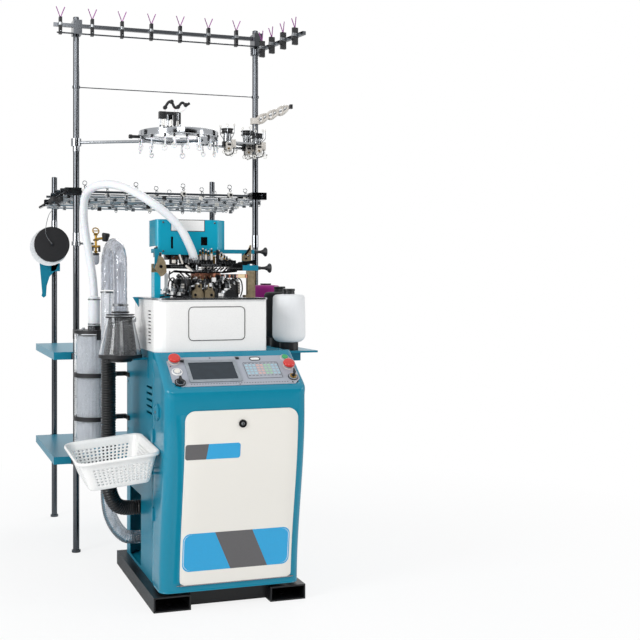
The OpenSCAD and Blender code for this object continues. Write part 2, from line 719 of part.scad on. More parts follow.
// Upper arm and the folded teal cover above the head, which lift a little further by themselves
upper_z = 1175;
upper_h = 14;
upper_y = -38;
link_y = arm_y + 12 + 2;
module upper_arm() {
    color(teal) difference() {
        union() {
            translate([pivot_x, link_y, pivot_z]) rotate([-90, 0, 0]) cylinder(r = 12, h = 8);
            translate([pivot_x - 9, link_y, pivot_z]) cube([15, 8, upper_z + upper_h - pivot_z]);
            translate([pivot_x - 9, link_y, upper_z]) cube([15, upper_y + 16 - link_y, upper_h]);
            translate([pivot_x - 9, upper_y, upper_z]) cube([172 - pivot_x + 9, 16, upper_h]);
            translate([126, upper_y + 2, post_top + 20]) cube([30, 5, upper_z - post_top - 20]);
        }
        translate([pivot_x, link_y - far, pivot_z]) rotate([-90, 0, 0]) cylinder(r = pivot_r + fit, h = 20);
    }
}
hood_x0 = -190;
hood_x1 = 36;
hood_y = -40;
hood_bot = 1169;
hood_top = 1294;
hood_t = 2;
module top_cover() {
    color(teal) difference() {
        union() {
            translate([hood_x0, hood_y, hood_bot]) cube([hood_x1 - hood_x0, hood_t, hood_top - hood_bot]);
            translate([hood_x0, hood_y, 1200]) cube([hood_t, 120, hood_top - 1200]);
            translate([0, 0, hood_bot + 20]) linear_extrude(hood_top - hood_bot - 20) polygon([[hood_x1, hood_y],
                [70, hood_y + 34], [70, 60], [70 - hood_t, 60], [70 - hood_t, hood_y + 35], [hood_x1, hood_y + hood_t]]);
            translate([0, 0, hood_top - hood_t]) linear_extrude(hood_t) polygon([[hood_x0, hood_y], [hood_x1, hood_y],
                [70, hood_y + 34], [70, 60], [70, 80], [hood_x0, 80]]);
        }
        translate([-138, hood_y - far, 1191]) cube([8, hood_t + 2 * far, 42]);
        translate([-29, hood_y - far, 1203]) cube([24, hood_t + 2 * far, 30]);
    }
}
module upper_knob() {
    translate([172, upper_y + 8, upper_z + upper_h / 2]) trumpet();
}

// White suction hose: from the waste tank's spigot up, over and down to the cutter's nozzle
tank_x = -349;
tank_y = 300;
tank_z = 400;
spigot_top = 1016;
suction_route = [[-352, 300, 1017.5], [-354, 300, 1050], [-360, 302, 1110], [-371, 303, 1175],
    [-385, 300, 1258], [-394, 285, 1327], [-393, 250, 1393], [-366, 200, 1424], [-323, 140, 1428],
    [-278, 80, 1412], [-232, 25, 1381], [-191, -20, 1346], [-156, -52, 1312], [-130, -62, 1285],
    [-106, -67, 1256], [-82, -69, 1210], [-66, -67, 1174], [-60, -66, 1150.5]];
module suction_hose() {
    color(white) swept_tube(suction_route, suction_d / 2, [0.78, 0.63, 0], 12, 2);
}
module waste_tank() {
    color(clear) translate([tank_x, tank_y, tank_z]) tube(tank_d / 2, tank_d / 2 - 4, tank_h);
}
module tank_fittings() {
    top = tank_z + tank_h;
    color(black) translate([tank_x, tank_y, 0]) {
        difference() {
            union() {
                cylinder_at(0, 0, top, tank_d / 2 + 4, 12);
                cylinder_at(-3, 0, top + 12, 24, 16);
                cylinder_at(-3, 0, top + 28, 20, spigot_top - top - 28);
            }
            cylinder_at(-3, 0, top - far, 12, 40);
        }
        cylinder_at(0, 0, tank_z - 12, tank_d / 2 + 4, 12);
        for (z = [563, 725]) translate([0, 0, z - 8]) difference() {
            union() {
                cylinder(r = tank_d / 2 + 4, h = 16);
                translate([tank_d / 2 - 4, -12, 0]) cube([-cab_x - tank_x - tank_d / 2 + 4, 24, 16]);
                translate([-cab_x - tank_x - 6, -70, 0]) cube([6, 80, 16]);
            }
            translate([0, 0, -far]) cylinder(r = tank_d / 2 + 0.1, h = 18);
        }
        for (a = [150, 270, 30]) rotate([0, 0, a]) translate([tank_d / 2 + 4, -8, top - 22]) cube([5, 16, 36]);
    }
}

// Sock receiver: clear cone over a perforated inner cone, on a black base with a flap below
rec_x = -322;
rec_y = -60;
rec_z = 812;
rec_base_h = 12;
rec_top = 974;
neck_r = sock_d / 2 + 4;
module receiver_cone() {
    z0 = rec_z + rec_base_h;
    color(clear) translate([rec_x, rec_y, 0]) rotate_extrude() polygon([[receiver_r - 3, z0], [receiver_r, z0],
        [46, rec_top - 22], [46, rec_top - 16], [neck_r, rec_top - 16], [neck_r, rec_top + 14],
        [sock_d / 2 + 0.1, rec_top + 14], [sock_d / 2 + 0.1, rec_top - 19], [43, rec_top - 19], [43, rec_top - 22]]);
}
port_x = -348;
port_y = 25;
module receiver_base() {
    color(black) union() {
        difference() {
            union() {
                cylinder_at(rec_x, rec_y, rec_z, receiver_r + 2, rec_base_h);
                cylinder_at(port_x, port_y, rec_z, air_d / 2 + 4, rec_base_h);
                translate([port_x, rec_y, rec_z]) cube([40, port_y - rec_y, rec_base_h]);
                cylinder_at(rec_x, rec_y, rec_z - 10, 42, 12);
            }
            cylinder_at(rec_x, rec_y, rec_z - 12, 36, 40);
        }
        translate([rec_x, rec_y, 0]) rotate_extrude() polygon([[56, rec_z + rec_base_h - 1],
            [58, rec_z + rec_base_h - 1], [40, rec_top - 24], [38, rec_top - 24]]);
        for (s = [-1, 1]) translate([rec_x - 46, rec_y + s * 8 - 2, rec_z - 18]) difference() {
            cube([10, 4, 19]);
            translate([5, -far, 5]) rotate([-90, 0, 0]) cylinder(r = 2 + fit, h = 6, $fn = 24);
        }
    }
}
flap_x = rec_x - 41;
flap_z = rec_z - 13;
module outlet_flap() {
    color(steel) union() {
        difference() {
            translate([rec_x, rec_y, flap_z - 1]) cylinder(r = 39, h = 2);
            for (s = [-1, 1]) translate([flap_x - 8, rec_y + s * 8 - 3, flap_z - 4]) cube([17, 6, 8]);
        }
        translate([flap_x, rec_y - 4, flap_z - 1]) cube([6, 8, 2]);
        translate([flap_x, rec_y - 12, flap_z]) rotate([-90, 0, 0]) cylinder(r = 2, h = 24, $fn = 24);
    }
}
back_x = -340;
back_y = 85;
bend_z = 1130;
bend_r = norm([back_x - rec_x, back_y - rec_y]) / 2;
bend_a = atan2(back_y - rec_y, back_x - rec_x);
leg_bot = rec_top - 18;
pipe_top = 1040;
module receiver_bend() {
    mid = [(rec_x + back_x) / 2, (rec_y + back_y) / 2, bend_z];
    out = [cos(bend_a), sin(bend_a), 0];
    top = [for (i = [0:8]) let (a = 180 - i * 22.5) mid + bend_r * (cos(a) * out + [0, 0, sin(a)])];
    side = [-sin(bend_a), cos(bend_a), 0];
    color(clear) difference() {
        swept_tube(concat([[rec_x, rec_y, leg_bot], [rec_x, rec_y, leg_bot + 90]], top,
            [[back_x, back_y, pipe_top]]), sock_d / 2, side, 16, 2);
        swept_tube(concat([[rec_x, rec_y, leg_bot - far], [rec_x, rec_y, leg_bot + 90]], top,
            [[back_x, back_y, pipe_top - far]]), sock_d / 2 - 3, side, 16, 2);
    }
}
pipe_route = [[back_x, back_y, pipe_top - seat], [back_x, back_y, 900], [back_x, back_y, 720], [-340, 86, 560],
    [-340, 88, 420], [-340, 92, 340], [-337, 99, 285], [-326, 108, 232], [-302, 117, 184],
    [-270, 125, 151], [-238, 127, 143], [-218, 127, 143], [-198.3, 127, 143]];
module sock_pipe() {
    color(grey) swept_tube(pipe_route, sock_d / 2, [0, 1, 0.2], 12, 3);
}
air_route = [[port_x, port_y, rec_z - seat], [port_x, port_y, 720], [port_x, port_y, 600], [-348, 25, 480],
    [-347, 26, 390], [-342, 32, 335], [-322, 43, 290], [-294, 57, 270], [-258, 70, 264], [-228, 70, 264], [-198.3, 70, 264]];
module air_hose() {
    color(black) swept_tube(air_route, air_d / 2, [0, 1, 0.2], 12, 3);
}
// Blower inside the cabinet, with one port for each hose
blower_x = -198;
module blower() {
    color(grey) union() {
        translate([blower_x, 30, rail_h + sheet_t]) cube([118, 150, 40]);
        translate([blower_x + 92, 40, 200]) rotate([-90, 0, 0]) cylinder(r = 88, h = 70);
        translate([blower_x + 92, 110, 200]) rotate([-90, 0, 0]) cylinder(r = 58, h = 60);
        translate([blower_x, 70, 264]) rotate([0, 90, 0]) cylinder(r = air_d / 2, h = 40);
        translate([blower_x, 127, 143]) rotate([0, 90, 0]) cylinder(r = sock_d / 2, h = 90);
        translate([blower_x + 20, 50, rail_h + sheet_t]) cube([80, 100, 80]);
    }
}

// Basket: four sloping perforated walls, a floor and a rolled rim, tipped forward and outward
basket_in = 30;
rim_w = 10;
module slotted(w, h, nx, nz, t) {
    difference() {
        cube([w, t, h]);
        for (i = [0:nx - 1]) for (k = [0:nz - 1])
            translate([16 + i * (w - 32) / nx, -far, 12 + k * (h - 22) / nz])
                cube([(w - 32) / nx * 0.55, t + 2 * far, (h - 22) / nz * 0.62]);
    }
}
module basket_wall(len, nx) {
    lean = atan(basket_in / basket_h);
    slope = basket_h / cos(lean);
    intersection() {
        translate([-len / 2, 0, 0]) rotate([lean, 0, 0]) slotted(len, slope, nx, 3, basket_t);
        rotate([90, 0, 0]) translate([0, 0, -60]) linear_extrude(120) polygon([[-len / 2 + basket_in, -5],
            [len / 2 - basket_in, -5], [len / 2 + 5 * basket_in / basket_h, basket_h + 5],
            [-len / 2 - 5 * basket_in / basket_h, basket_h + 5]]);
    }
}
module at_basket() {
    translate([-cab_x - 9, -173, 434]) rotate([3.6, -5.8, 0]) translate([-basket_w / 2, 0, 0]) children();
}
module basket() {
    color(white) at_basket() union() {
        for (a = [0, 180]) rotate([0, 0, a]) translate([0, basket_l / 2 - basket_in, 0])
            mirror([0, 1, 0]) basket_wall(basket_w, 11);
        for (a = [90, 270]) rotate([0, 0, a]) translate([0, basket_w / 2 - basket_in, 0])
            mirror([0, 1, 0]) basket_wall(basket_l, 13);
        difference() {
            translate([-basket_w / 2 + basket_in, -basket_l / 2 + basket_in, 0])
                cube([basket_w - 2 * basket_in, basket_l - 2 * basket_in, basket_t]);
            for (i = [0:6]) for (k = [0:8])
                translate([-basket_w / 2 + basket_in + 12 + 26 * i, -basket_l / 2 + basket_in + 12 + 26 * k, -far])
                    cube([14, 14, basket_t + 2 * far]);
        }
        translate([0, 0, basket_h - 4]) difference() {
            translate([-basket_w / 2 - rim_w + 4, -basket_l / 2 - rim_w + 4, 0])
                cube([basket_w + 2 * rim_w - 8, basket_l + 2 * rim_w - 8, 4]);
            translate([-basket_w / 2, -basket_l / 2, -far]) cube([basket_w, basket_l, 4 + 2 * far]);
        }
    }
}

// Brackets on the cabinet's left side, and the side table on its right
table_z = 825;
table_t = 7;
table_x1 = 392;
module side_brackets() {
    color(teal) union() {
        translate([rec_x + 43, rec_y - 20, rec_z - 8]) cube([-cab_x - rec_x - 43, 60, 8]);
        translate([-cab_x - 3, rec_y - 30, rec_z - 70]) cube([3, 80, 62]);
    }
    color(grey) difference() {
        union() {
            for (y = [-8, 70]) at_basket() translate([-40, y - 8, -5]) cube([basket_w, 16, 5]);
            at_basket() translate([-60, -90, -5]) cube([40, 180, 5]);
            translate([-cab_x - 3, -194, 400]) cube([3, 110, 50]);
        }
        translate([-cab_x, -400, 0]) cube([200, 800, 900]);
    }
    color(steel) difference() {
        translate([-386, -6, 476]) cube([-cab_x + 386, 126, 4]);
        translate([port_x, port_y, 470]) cylinder(r = air_d / 2 + 2 * seat, h = 20);
        translate([back_x, back_y + 2, 470]) cylinder(r = sock_d / 2 + 2 * seat, h = 20);
    }
    color(grey) union() {
        translate([cab_x, -105, table_z - table_t]) cube([table_x1 - cab_x, 440, table_t]);
        translate([cab_x, -60, table_z - 60]) cube([3, 300, 60 - table_t]);
        for (y = [-40, 200]) translate([cab_x, y, table_z - 40]) cube([120, 4, 40 - table_t]);
    }
}

// Yarn creel: poles, shelves, bars, sensors and tensioners
pole_mid = -10;
pole_y = 535;
pole_r = pole_d / 2;
pole_xs = [pole_mid - pole_gauge / 2, pole_mid + pole_gauge / 2];
module pole(h) {
    tube(pole_r, pole_r - 1.5, h - 3);
    translate([0, 0, h - 3]) cylinder(r = pole_r, h = 3);
    difference() {
        cylinder(r = pole_r + 5, h = 10);
        translate([0, 0, -far]) cylinder(r = pole_r - 1, h = 12);
    }
}
module creel_poles() {
    color(chrome) for (x = pole_xs) {
        translate([x, pole_y, 0]) pole(tall_h);
        translate([x, pole_y + pole_depth, 0]) pole(short_h);
    }
}
clamp_r = pole_r + 8;
shelf_y0 = pole_y + clamp_r;
shelf_len = pole_depth - 2 * clamp_r;
module creel_shelves() {
    color(teal) for (z = [shelf_lo, shelf_hi]) translate([pole_mid - shelf_w / 2, shelf_y0, z - shelf_lip])
        difference() {
            cube([shelf_w, shelf_len, shelf_lip]);
            translate([2, 2, -far]) cube([shelf_w - 4, shelf_len - 4, shelf_lip - 2 + far]);
        }
}
module collar(x, y, z, h) {
    translate([x, y, z - h / 2]) tube(clamp_r - 0.1, pole_r + 0.1, h);
}
mid_z = short_h - 119;
row_ys = [690, 845, 1000];
mid_x0 = pole_xs[0] - 30;
mid_x1 = pole_xs[1] + 30;
bar_z = tall_h - 41;
bar_y = pole_y - pole_r - 14;
bar_s = 14;
side_z = tall_h - 88;
tie_z = tall_h - 278;
brace_z = 640;
side_dir = [sin(10.9), -cos(10.9), 0];
side_len = 390;
module block(x, y, z, sx, sy, sz) {
    translate([x - sx / 2, y - sy / 2, z - sz / 2]) cube([sx, sy, sz]);
}
module pole_holes() {
    for (x = pole_xs) for (y = [pole_y, pole_y + pole_depth])
        translate([x, y, 10]) cylinder(r = pole_r + 0.1, h = tall_h);
}
module creel_bars() {
    color(chrome) {
        for (z = [shelf_lo, shelf_hi]) for (x = pole_xs) for (y = [pole_y, pole_y + pole_depth])
            collar(x, y, z - shelf_lip / 2, 24);
        difference() {
            union() {
                for (x = [mid_x0, mid_x1]) {
                    rod([x, pole_y - 30, mid_z], [x, pole_y + pole_depth + (x < 0 ? 285 : 40), mid_z], 8);
                    for (y = [pole_y, pole_y + pole_depth])
                        block(x < 0 ? x + 17 : x - 17, y, mid_z, 64, 36, 30);
                    for (y = row_ys) block(x, y, mid_z + 8, 22, 22, 34);
                }
                for (y = row_ys) rod([mid_x0 - 30, y, mid_z + 14], [mid_x1 + 40, y, mid_z + 14], 5);
                rod([mid_x0, pole_y + pole_depth - 30, mid_z], [mid_x1, pole_y + pole_depth - 30, mid_z], 6);
            }
            pole_holes();
        }
        difference() {
            union() {
                block(pole_mid - 48, bar_y, bar_z, pole_gauge + 90, bar_s, bar_s);
                rod([pole_xs[0] - 80, bar_y, bar_z - 30], [pole_xs[1], bar_y, bar_z - 30], 3);
                for (x = pole_xs) block(x, (bar_y + pole_y) / 2, bar_z - 6, 34, pole_y - bar_y + 34, 56);
                translate([pole_xs[1], pole_y, side_z]) rotate([0, 0, -90 + 10.9]) {
                    translate([0, -7, -7]) cube([side_len, 14, 14]);
                    translate([0, 0, -15]) cylinder(r = clamp_r, h = 30);
                }
            }
            pole_holes();
        }
        difference() {
            union() {
                rod([200, cab_back + 8, brace_z], [pole_xs[1], pole_y, brace_z], 8);
                translate([178, cab_back, brace_z - 22]) cube([44, 4, 44]);
                translate([185, cab_back, brace_z - 15]) cube([30, 14, 30]);
                translate([pole_xs[1], pole_y, brace_z - 14]) cylinder(r = clamp_r, h = 28);
            }
            pole_holes();
        }
        difference() {
            union() {
                rod([pole_xs[0], pole_y, tie_z], [pole_xs[1], pole_y, tie_z], 2);
                for (x = pole_xs) translate([x, pole_y, tie_z - 5]) cylinder(r = pole_r + 3, h = 10);
            }
            pole_holes();
        }
    }
}
// A stop-motion sensor: a slim black body with two wires that stand up in a V
module sensor() {
    color(black) union() {
        translate([-6, -22, -40]) cube([12, 22, 66]);
        rod([0, -11, 25], [-16, -16, 64], 1.2, $fn = 16);
        rod([0, -11, 25], [16, -16, 64], 1.2, $fn = 16);
        translate([0, -22, -20]) rotate([90, 0, 0]) cylinder(r = 4, h = 4);
    }
}
sensor_pitch = 119;
module yarn_sensors() {
    for (x = concat([-453, -328], [for (i = [1:5]) -328 + sensor_pitch * i]))
        translate([x, bar_y - bar_s / 2, bar_z]) sensor();
    for (d = [90, 170, 260, 350])
        translate([pole_xs[1], pole_y, side_z] + d * side_dir) rotate([0, 0, -90 + 10.9]) translate([0, -7, 0]) sensor();
}
// A tensioner: a clip on the rod with a disc in front, a stem and a yarn eyelet
module tensioner() {
    color(black) difference() {
        union() {
            block(0, 0, 0, 16, 22, 22);
            translate([0, -10, 0]) rotate([90, 0, 0]) cylinder(r = 11, h = 5);
            translate([0, 0, 10]) cylinder(r = 1.8, h = 14, $fn = 16);
            translate([0, -1.5, 32]) rotate([-90, 0, 0]) tube(10, 6.5, 3);
        }
        rotate([0, 90, 0]) cylinder(r = 5.1, h = 40, center = true);
    }
}
row_xs = [[-326, -111, 92, 299], [-205, 11, 217, 419], [-95, 107, 320]];
module tensioners() {
    for (k = [0:2]) for (x = row_xs[k]) translate([x, row_ys[k], mid_z + 14]) tensioner();
}

// Feeder ring on two arms, with its yarn eyelets
ring_x = -45;
ring_y = 221;
ring_z = tall_h - 506;
ring_dirs = [[0.733, -0.681], [-0.795, -0.607]];
module feeder_ring() {
    color(chrome) difference() {
        union() {
            translate([ring_x, ring_y, ring_z]) tube(ring_r, ring_r - 3, ring_h);
            for (k = [0, 1]) {
                ring_arm(k, 6);
                translate([pole_xs[k], pole_y, ring_z - 7]) cylinder(r = clamp_r, h = 30);
            }
            for (a = [190, 214, 246, 262, 286, 320, 20, 70, 120]) translate([ring_x, ring_y, ring_z])
                rotate([0, 0, a]) translate([ring_r - 2, -5, -4]) {
                    cube([9, 10, 18]);
                    translate([5, 5, -30]) cylinder(r = 2, h = 31, $fn = 20);
                    translate([3.5, 5, -38]) rotate([0, 90, 0]) tube(9, 6, 3);
                }
        }
        pole_holes();
    }
}
// The rod from the ring to one of the tall poles
module ring_arm(k, r) {
    d = ring_dirs[k];
    rod([ring_x - d[0] * (ring_r - 1.5), ring_y - d[1] * (ring_r - 1.5), ring_z + 8],
        [pole_xs[k], pole_y, ring_z + 8], r);
}
// Feeders: a motor body under each wheel, joined to the ring's right arm
WHEELS = [[205, 412, ring_z + 54], [322, 515, ring_z + 64], [345, 450, ring_z + 44]];
guide_z = ring_z + 127;
wheel_h = 18;
module feeder_units() {
    color(steel) difference() {
        union() {
            for (w = WHEELS) translate([w[0], w[1], ring_z + 15]) {
                cylinder(r = 17, h = w[2] - ring_z - 15 - 1);
                translate([-8, -22, -30]) cube([16, 30, 30]);
            }
            translate([0, 0, ring_z + 15]) linear_extrude(6) polygon([[190, 396], [206, 386], [345, 435], [362, 452],
                [362, 500], [330, 530], [310, 520]]);
            rod([366, pole_y - 4, guide_z], [495, 450, guide_z + 55], 5);
            for (t = [0.28, 0.56, 0.84]) translate([366 + 129 * t, pole_y - 4 - 81 * t, guide_z + 55 * t]) rotate([70, 0, -32])
                cylinder(r = 19, h = 3, center = true);
            translate([pole_xs[1], pole_y, guide_z - 12]) cylinder(r = clamp_r, h = 24);
        }
        for (w = WHEELS) translate([w[0], w[1], w[2] - 24]) cylinder(r = 4 + fit, h = 40);
        ring_arm(1, 6 + seat);
        pole_holes();
    }
}
module feeder_wheel(i) {
    w = WHEELS[i];
    color(black) translate(w) difference() {
        union() {
            translate([0, 0, -22]) cylinder(r = 4, h = 24);
            rotate_extrude() polygon([[0, 0], [wheel_r, 0], [wheel_r, 2], [wheel_r - 4, 5], [wheel_r - 4, wheel_h - 5],
                [wheel_r, wheel_h - 2], [wheel_r, wheel_h], [0, wheel_h]]);
        }
        around(8) translate([wheel_r - 10, 0, -far]) cylinder(r = 3, h = wheel_h + 2 * far, $fn = 16);
    }
}
module feeder_wheel_1() {
    feeder_wheel(0);
}
module feeder_wheel_2() {
    feeder_wheel(1);
}
module feeder_wheel_3() {
    feeder_wheel(2);
}

// Elastic yarn package on its bracket at the left rear pole, and the air regulator at the left front
pack_x = -407;
pack_y = 1100;
pack_z = 1240;
module yarn_stand() {
    rear = pole_y + pole_depth;
    color(black) translate([pack_x, pack_y, pack_z]) rotate([-90, 0, 0]) cylinder(r = 79, h = 12);
    color(white) translate([pack_x - 4, pack_y + 12, pack_z - 6]) rotate([-90, 0, 0]) cylinder(r = 84, h = 52);
    color(teal) difference() {
        union() {
            plate_xz([[-455, 1162], [-440, 1250], [-370, 1250], [-366, 1162], [-380, 1130], [-410, 1095],
                [-424, 1048], [-450, 1048]], pack_y + 64 + seat, 5);
            translate([pole_xs[0] - 22, pack_y + 64 + seat, 1120]) cube([44, rear - pack_y - 64 + 12, 36]);
        }
        translate([pole_xs[0], rear, 1000]) cylinder(r = pole_r + 0.1, h = 300);
    }
    color("#b58a3c") difference() {
        union() {
            translate([pole_xs[0], pole_y, 1215]) cylinder(r = clamp_r, h = 20);
            translate([pole_xs[0], pole_y - 8, 1218]) cube([78, 12, 14]);
            translate([pole_xs[0] + 78, pole_y - 2, 1176]) cylinder(r = 12, h = 112);
            translate([pole_xs[0] + 78, pole_y - 2, 1150]) cylinder(r = 18, h = 30);
        }
        pole_holes();
    }
}

// Three yarn cones on the side table: body, hub and base cup as one solid each
CONES = [[300, -52, 20, 20], [318, 100, 27, 20], [312, 245, 52, 6]];
module yarn_cone(c) {
    body = 184 + c[2];
    translate([c[0], c[1], table_z]) rotate_extrude() polygon(concat([[0, 0], [34, 0], [34, 10 + c[2]],
        [52, 10 + c[2]], [60.5, 22 + c[2]]], arc([44, body - 16], 14, 20, 90, 4),
        [[21, body], [21, body + c[3] / 2], [19, body + c[3]], [0, body + c[3]]]));
}
module yarn_cones() {
    color(white) for (c = CONES) yarn_cone(c);
}

base_frame();
cabinet();
front_cover();
front_door();
door_lock();
control_panel();
lcd_screen();
estop_left();
estop_right();
start_button();
white_button();
selector_knob();
key_switch();
bed_plate();
head_cover();
servo_motor();
motor_pulley();
drive_belt();
cylinder_pulley();
bearing_housing();
needle_cylinder();
needles();
sinker_cap();
cam_box();
selector_units();
pivot_column();
pivot_plates();
latch_post();
dial_arm();
finger_units();
dial();
saw_ring();
lower_knob();
upper_arm();
top_cover();
upper_knob();
suction_hose();
waste_tank();
tank_fittings();
receiver_cone();
receiver_base();
outlet_flap();
receiver_bend();
sock_pipe();
air_hose();
blower();
basket();
side_brackets();
creel_poles();
creel_shelves();
creel_bars();
yarn_sensors();
tensioners();
feeder_ring();
feeder_units();
feeder_wheel_1();
feeder_wheel_2();
feeder_wheel_3();
yarn_stand();
yarn_cones();
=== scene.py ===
"""The look of the sock knitting machine, laid over its CAD frame. Lengths in the
piece functions are in millimetres."""

import math
from types import SimpleNamespace

import bmesh
import bpy
import numpy as np
from bpy.props import FloatProperty, IntProperty, PointerProperty
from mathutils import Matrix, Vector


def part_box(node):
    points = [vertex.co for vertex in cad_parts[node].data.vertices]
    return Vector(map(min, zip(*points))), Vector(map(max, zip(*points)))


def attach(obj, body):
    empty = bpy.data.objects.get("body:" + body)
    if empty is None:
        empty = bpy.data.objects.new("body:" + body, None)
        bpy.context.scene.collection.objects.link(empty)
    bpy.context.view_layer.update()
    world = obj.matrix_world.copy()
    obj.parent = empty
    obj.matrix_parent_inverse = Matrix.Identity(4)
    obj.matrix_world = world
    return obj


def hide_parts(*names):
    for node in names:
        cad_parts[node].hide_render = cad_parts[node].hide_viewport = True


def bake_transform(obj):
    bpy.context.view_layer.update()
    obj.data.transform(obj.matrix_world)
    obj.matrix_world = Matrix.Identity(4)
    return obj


bl_info = {
    "name": "Sock knitting machine",
    "version": (1, 0, 0),
    "blender": (4, 5, 0),
    "location": "View3D > Sidebar > Knitting",
    "description": "Builds the visible pieces and materials of a sock knitting machine over its CAD frame",
    "category": "Object",
}

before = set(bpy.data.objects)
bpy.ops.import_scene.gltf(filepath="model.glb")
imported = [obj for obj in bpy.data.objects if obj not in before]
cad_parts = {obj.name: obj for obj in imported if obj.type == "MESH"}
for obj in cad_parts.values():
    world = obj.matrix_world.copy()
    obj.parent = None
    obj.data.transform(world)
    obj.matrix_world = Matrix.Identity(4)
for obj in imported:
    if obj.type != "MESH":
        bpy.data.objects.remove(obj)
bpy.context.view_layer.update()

# A quarter turn in radians, as the profiles use it
QUARTER = 1.57
# Finishes that several pieces share: the real material and how its surface was made
TEAL_COAT = "Teal powder coat on folded steel"
SHELL_ENAMEL = "Teal gloss enamel on moulded shell"
HOOD_ENAMEL = "Turquoise stove enamel on bent sheet"
WHITE_ABS = "Warm white injection moulded ABS"
WHITE_ENAMEL = "White baked enamel on thin sheet"
MILKY_PVC = "Milky PVC extruded with a spiral rib"
BLACK_TPE = "Black TPE corrugated by blow moulding"
GREY_PVC = "Smoky grey PVC spiral pipe"
ACRYLIC = "Clear acrylic blown and polished"
GLASS = "Display glass over dark liquid crystal"
CLEAR_PVC = "Clear PVC pipe, hot bent"
BLACK_NYLON = "Black moulded nylon"
STEEL = "Turned and ground bearing steel"
SPRING_STEEL = "Oiled spring steel, stamped"
TUBE = "Steel tube, drawn and ground"
CHROME = "Chrome plate on drawn tube"
COPPER = "Copper alloy, turned and oxidised"
ALUMINIUM = "Aluminium sheet, brushed"
PALE_NYLON = "Natural nylon, injection moulded"
OXIDE = "Black oxide on machined steel"
BRASS = "Brass, machined"
ZINC = "Zinc plate, yellow passivated"
GALVANISED = "Galvanised steel sheet"
ALUMINA = "Glazed alumina, sintered"
INK = "Black ink, screen printed"


# Shader helpers


def lin(code, gain=1.0):
    """Linear colour of an sRGB hex code: ((c + 0.055) / 1.055) to the power 2.4, or c /
    12.92 near black, times gain."""
    c = np.array([int(code[i : i + 2], 16) for i in (1, 3, 5)]) / 255
    c = np.where(c <= 0.04045, c / 12.92, ((c + 0.055) / 1.055) ** 2.4) * gain
    return (*c.tolist(), 1.0)


def add(tree, kind, inputs=(), **attributes):
    """Adds one node, sets its attributes, and joins or sets each input of the (name,
    socket or value) pairs."""
    made = tree.nodes.new(kind)
    for key, value in attributes.items():
        setattr(made, key, value)
    for key, value in dict(inputs).items():
        if isinstance(value, bpy.types.NodeSocket):
            tree.links.new(value, made.inputs[key])
        else:
            made.inputs[key].default_value = value
    return made


def finish(name, colour, rough=(0.3, 0.4), grain=3.0, relief=0.01, dark=0.94, stretch=(1, 1, 1), **sockets):
    """A material whose tone, gloss and relief follow one noise of `grain` mm, stretched
    along the axes by `stretch`."""
    mat = bpy.data.materials.new(name)
    mat.use_nodes = True
    tree = mat.node_tree
    tree.nodes.clear()
    place = add(tree, "ShaderNodeTexCoord")
    scaled = add(tree, "ShaderNodeMapping", {"Vector": place.outputs["Object"], "Scale": stretch})
    noise = add(
        tree, "ShaderNodeTexNoise", {"Vector": scaled.outputs[0], "Scale": 1000 / grain, "Detail": 3.0},
    )
    tone = add(tree, "ShaderNodeValToRGB", {"Fac": noise.outputs[0]})
    for stop, gain, at in zip(tone.color_ramp.elements, (dark, 1.0), (0.35, 0.65)):
        stop.color, stop.position = lin(colour, gain), at
    gloss = add(
        tree,
        "ShaderNodeMapRange",
        {"Value": noise.outputs[0], "From Min": 0.3, "From Max": 0.7, "To Min": rough[0], "To Max": rough[1]},
    )
    bump = add(tree, "ShaderNodeBump", {"Height": noise.outputs[0], "Distance": relief / 1000})
    skin = add(
        tree,
        "ShaderNodeBsdfPrincipled",
        {"Base Color": tone.outputs[0], "Roughness": gloss.outputs[0], "Normal": bump.outputs[0]}
        | {key.replace("_", " "): value for key, value in sockets.items()},
    )
    add(tree, "ShaderNodeOutputMaterial", {"Surface": skin.outputs[0]})
    return SimpleNamespace(mat=mat, tree=tree, place=place, bump=bump, tone=tone, skin=skin)


def wound(name, colour, centre, turns, pitch):
    """Yarn wound on a cone: two crossing sine waves of the angle about the axis plus the
    height, `pitch` mm apart.

    Their larger value shades the gaps between the threads and lifts the threads themselves."""
    m = finish(name, colour, rough=(0.75, 0.9), grain=0.8, relief=0.03, dark=0.95, Sheen_Weight=0.1)
    shift = add(
        m.tree,
        "ShaderNodeMapping",
        {"Vector": m.place.outputs["Object"], "Location": (-centre[0] / 1000, -centre[1] / 1000, 0)},
    )
    angle = add(m.tree, "ShaderNodeTexGradient", {"Vector": shift.outputs[0]}, gradient_type="RADIAL")
    height = add(m.tree, "ShaderNodeSeparateXYZ", {"Vector": shift.outputs[0]})
    around = add(
        m.tree, "ShaderNodeMath", {0: angle.outputs["Fac"], 1: turns * math.tau}, operation="MULTIPLY",
    )
    up = add(
        m.tree, "ShaderNodeMath", {0: height.outputs[2], 1: math.tau * 1000 / pitch}, operation="MULTIPLY",
    )
    waves = []
    for way in ("ADD", "SUBTRACT"):
        phase = add(m.tree, "ShaderNodeMath", {0: up.outputs[0], 1: around.outputs[0]}, operation=way)
        waves.append(add(m.tree, "ShaderNodeMath", {0: phase.outputs[0]}, operation="SINE").outputs[0])
    thread = add(m.tree, "ShaderNodeMath", {0: waves[0], 1: waves[1]}, operation="MAXIMUM")
    shade = add(
        m.tree,
        "ShaderNodeMapRange",
        {"Value": thread.outputs[0], "From Min": -0.6, "From Max": 0.8, "To Min": 0.93, "To Max": 1.0},
    )
    mix = add(
        m.tree,
        "ShaderNodeMix",
        {0: 1.0, 6: m.tone.outputs[0], 7: shade.outputs[0]},
        data_type="RGBA",
        blend_type="MULTIPLY",
    )
    m.tree.links.new(mix.outputs[2], m.skin.inputs["Base Color"])
    rise = add(
        m.tree,
        "ShaderNodeBump",
        {"Height": thread.outputs[0], "Distance": 0.0003, "Normal": m.bump.outputs[0]},
    )
    m.tree.links.new(rise.outputs[0], m.skin.inputs["Normal"])
    return m


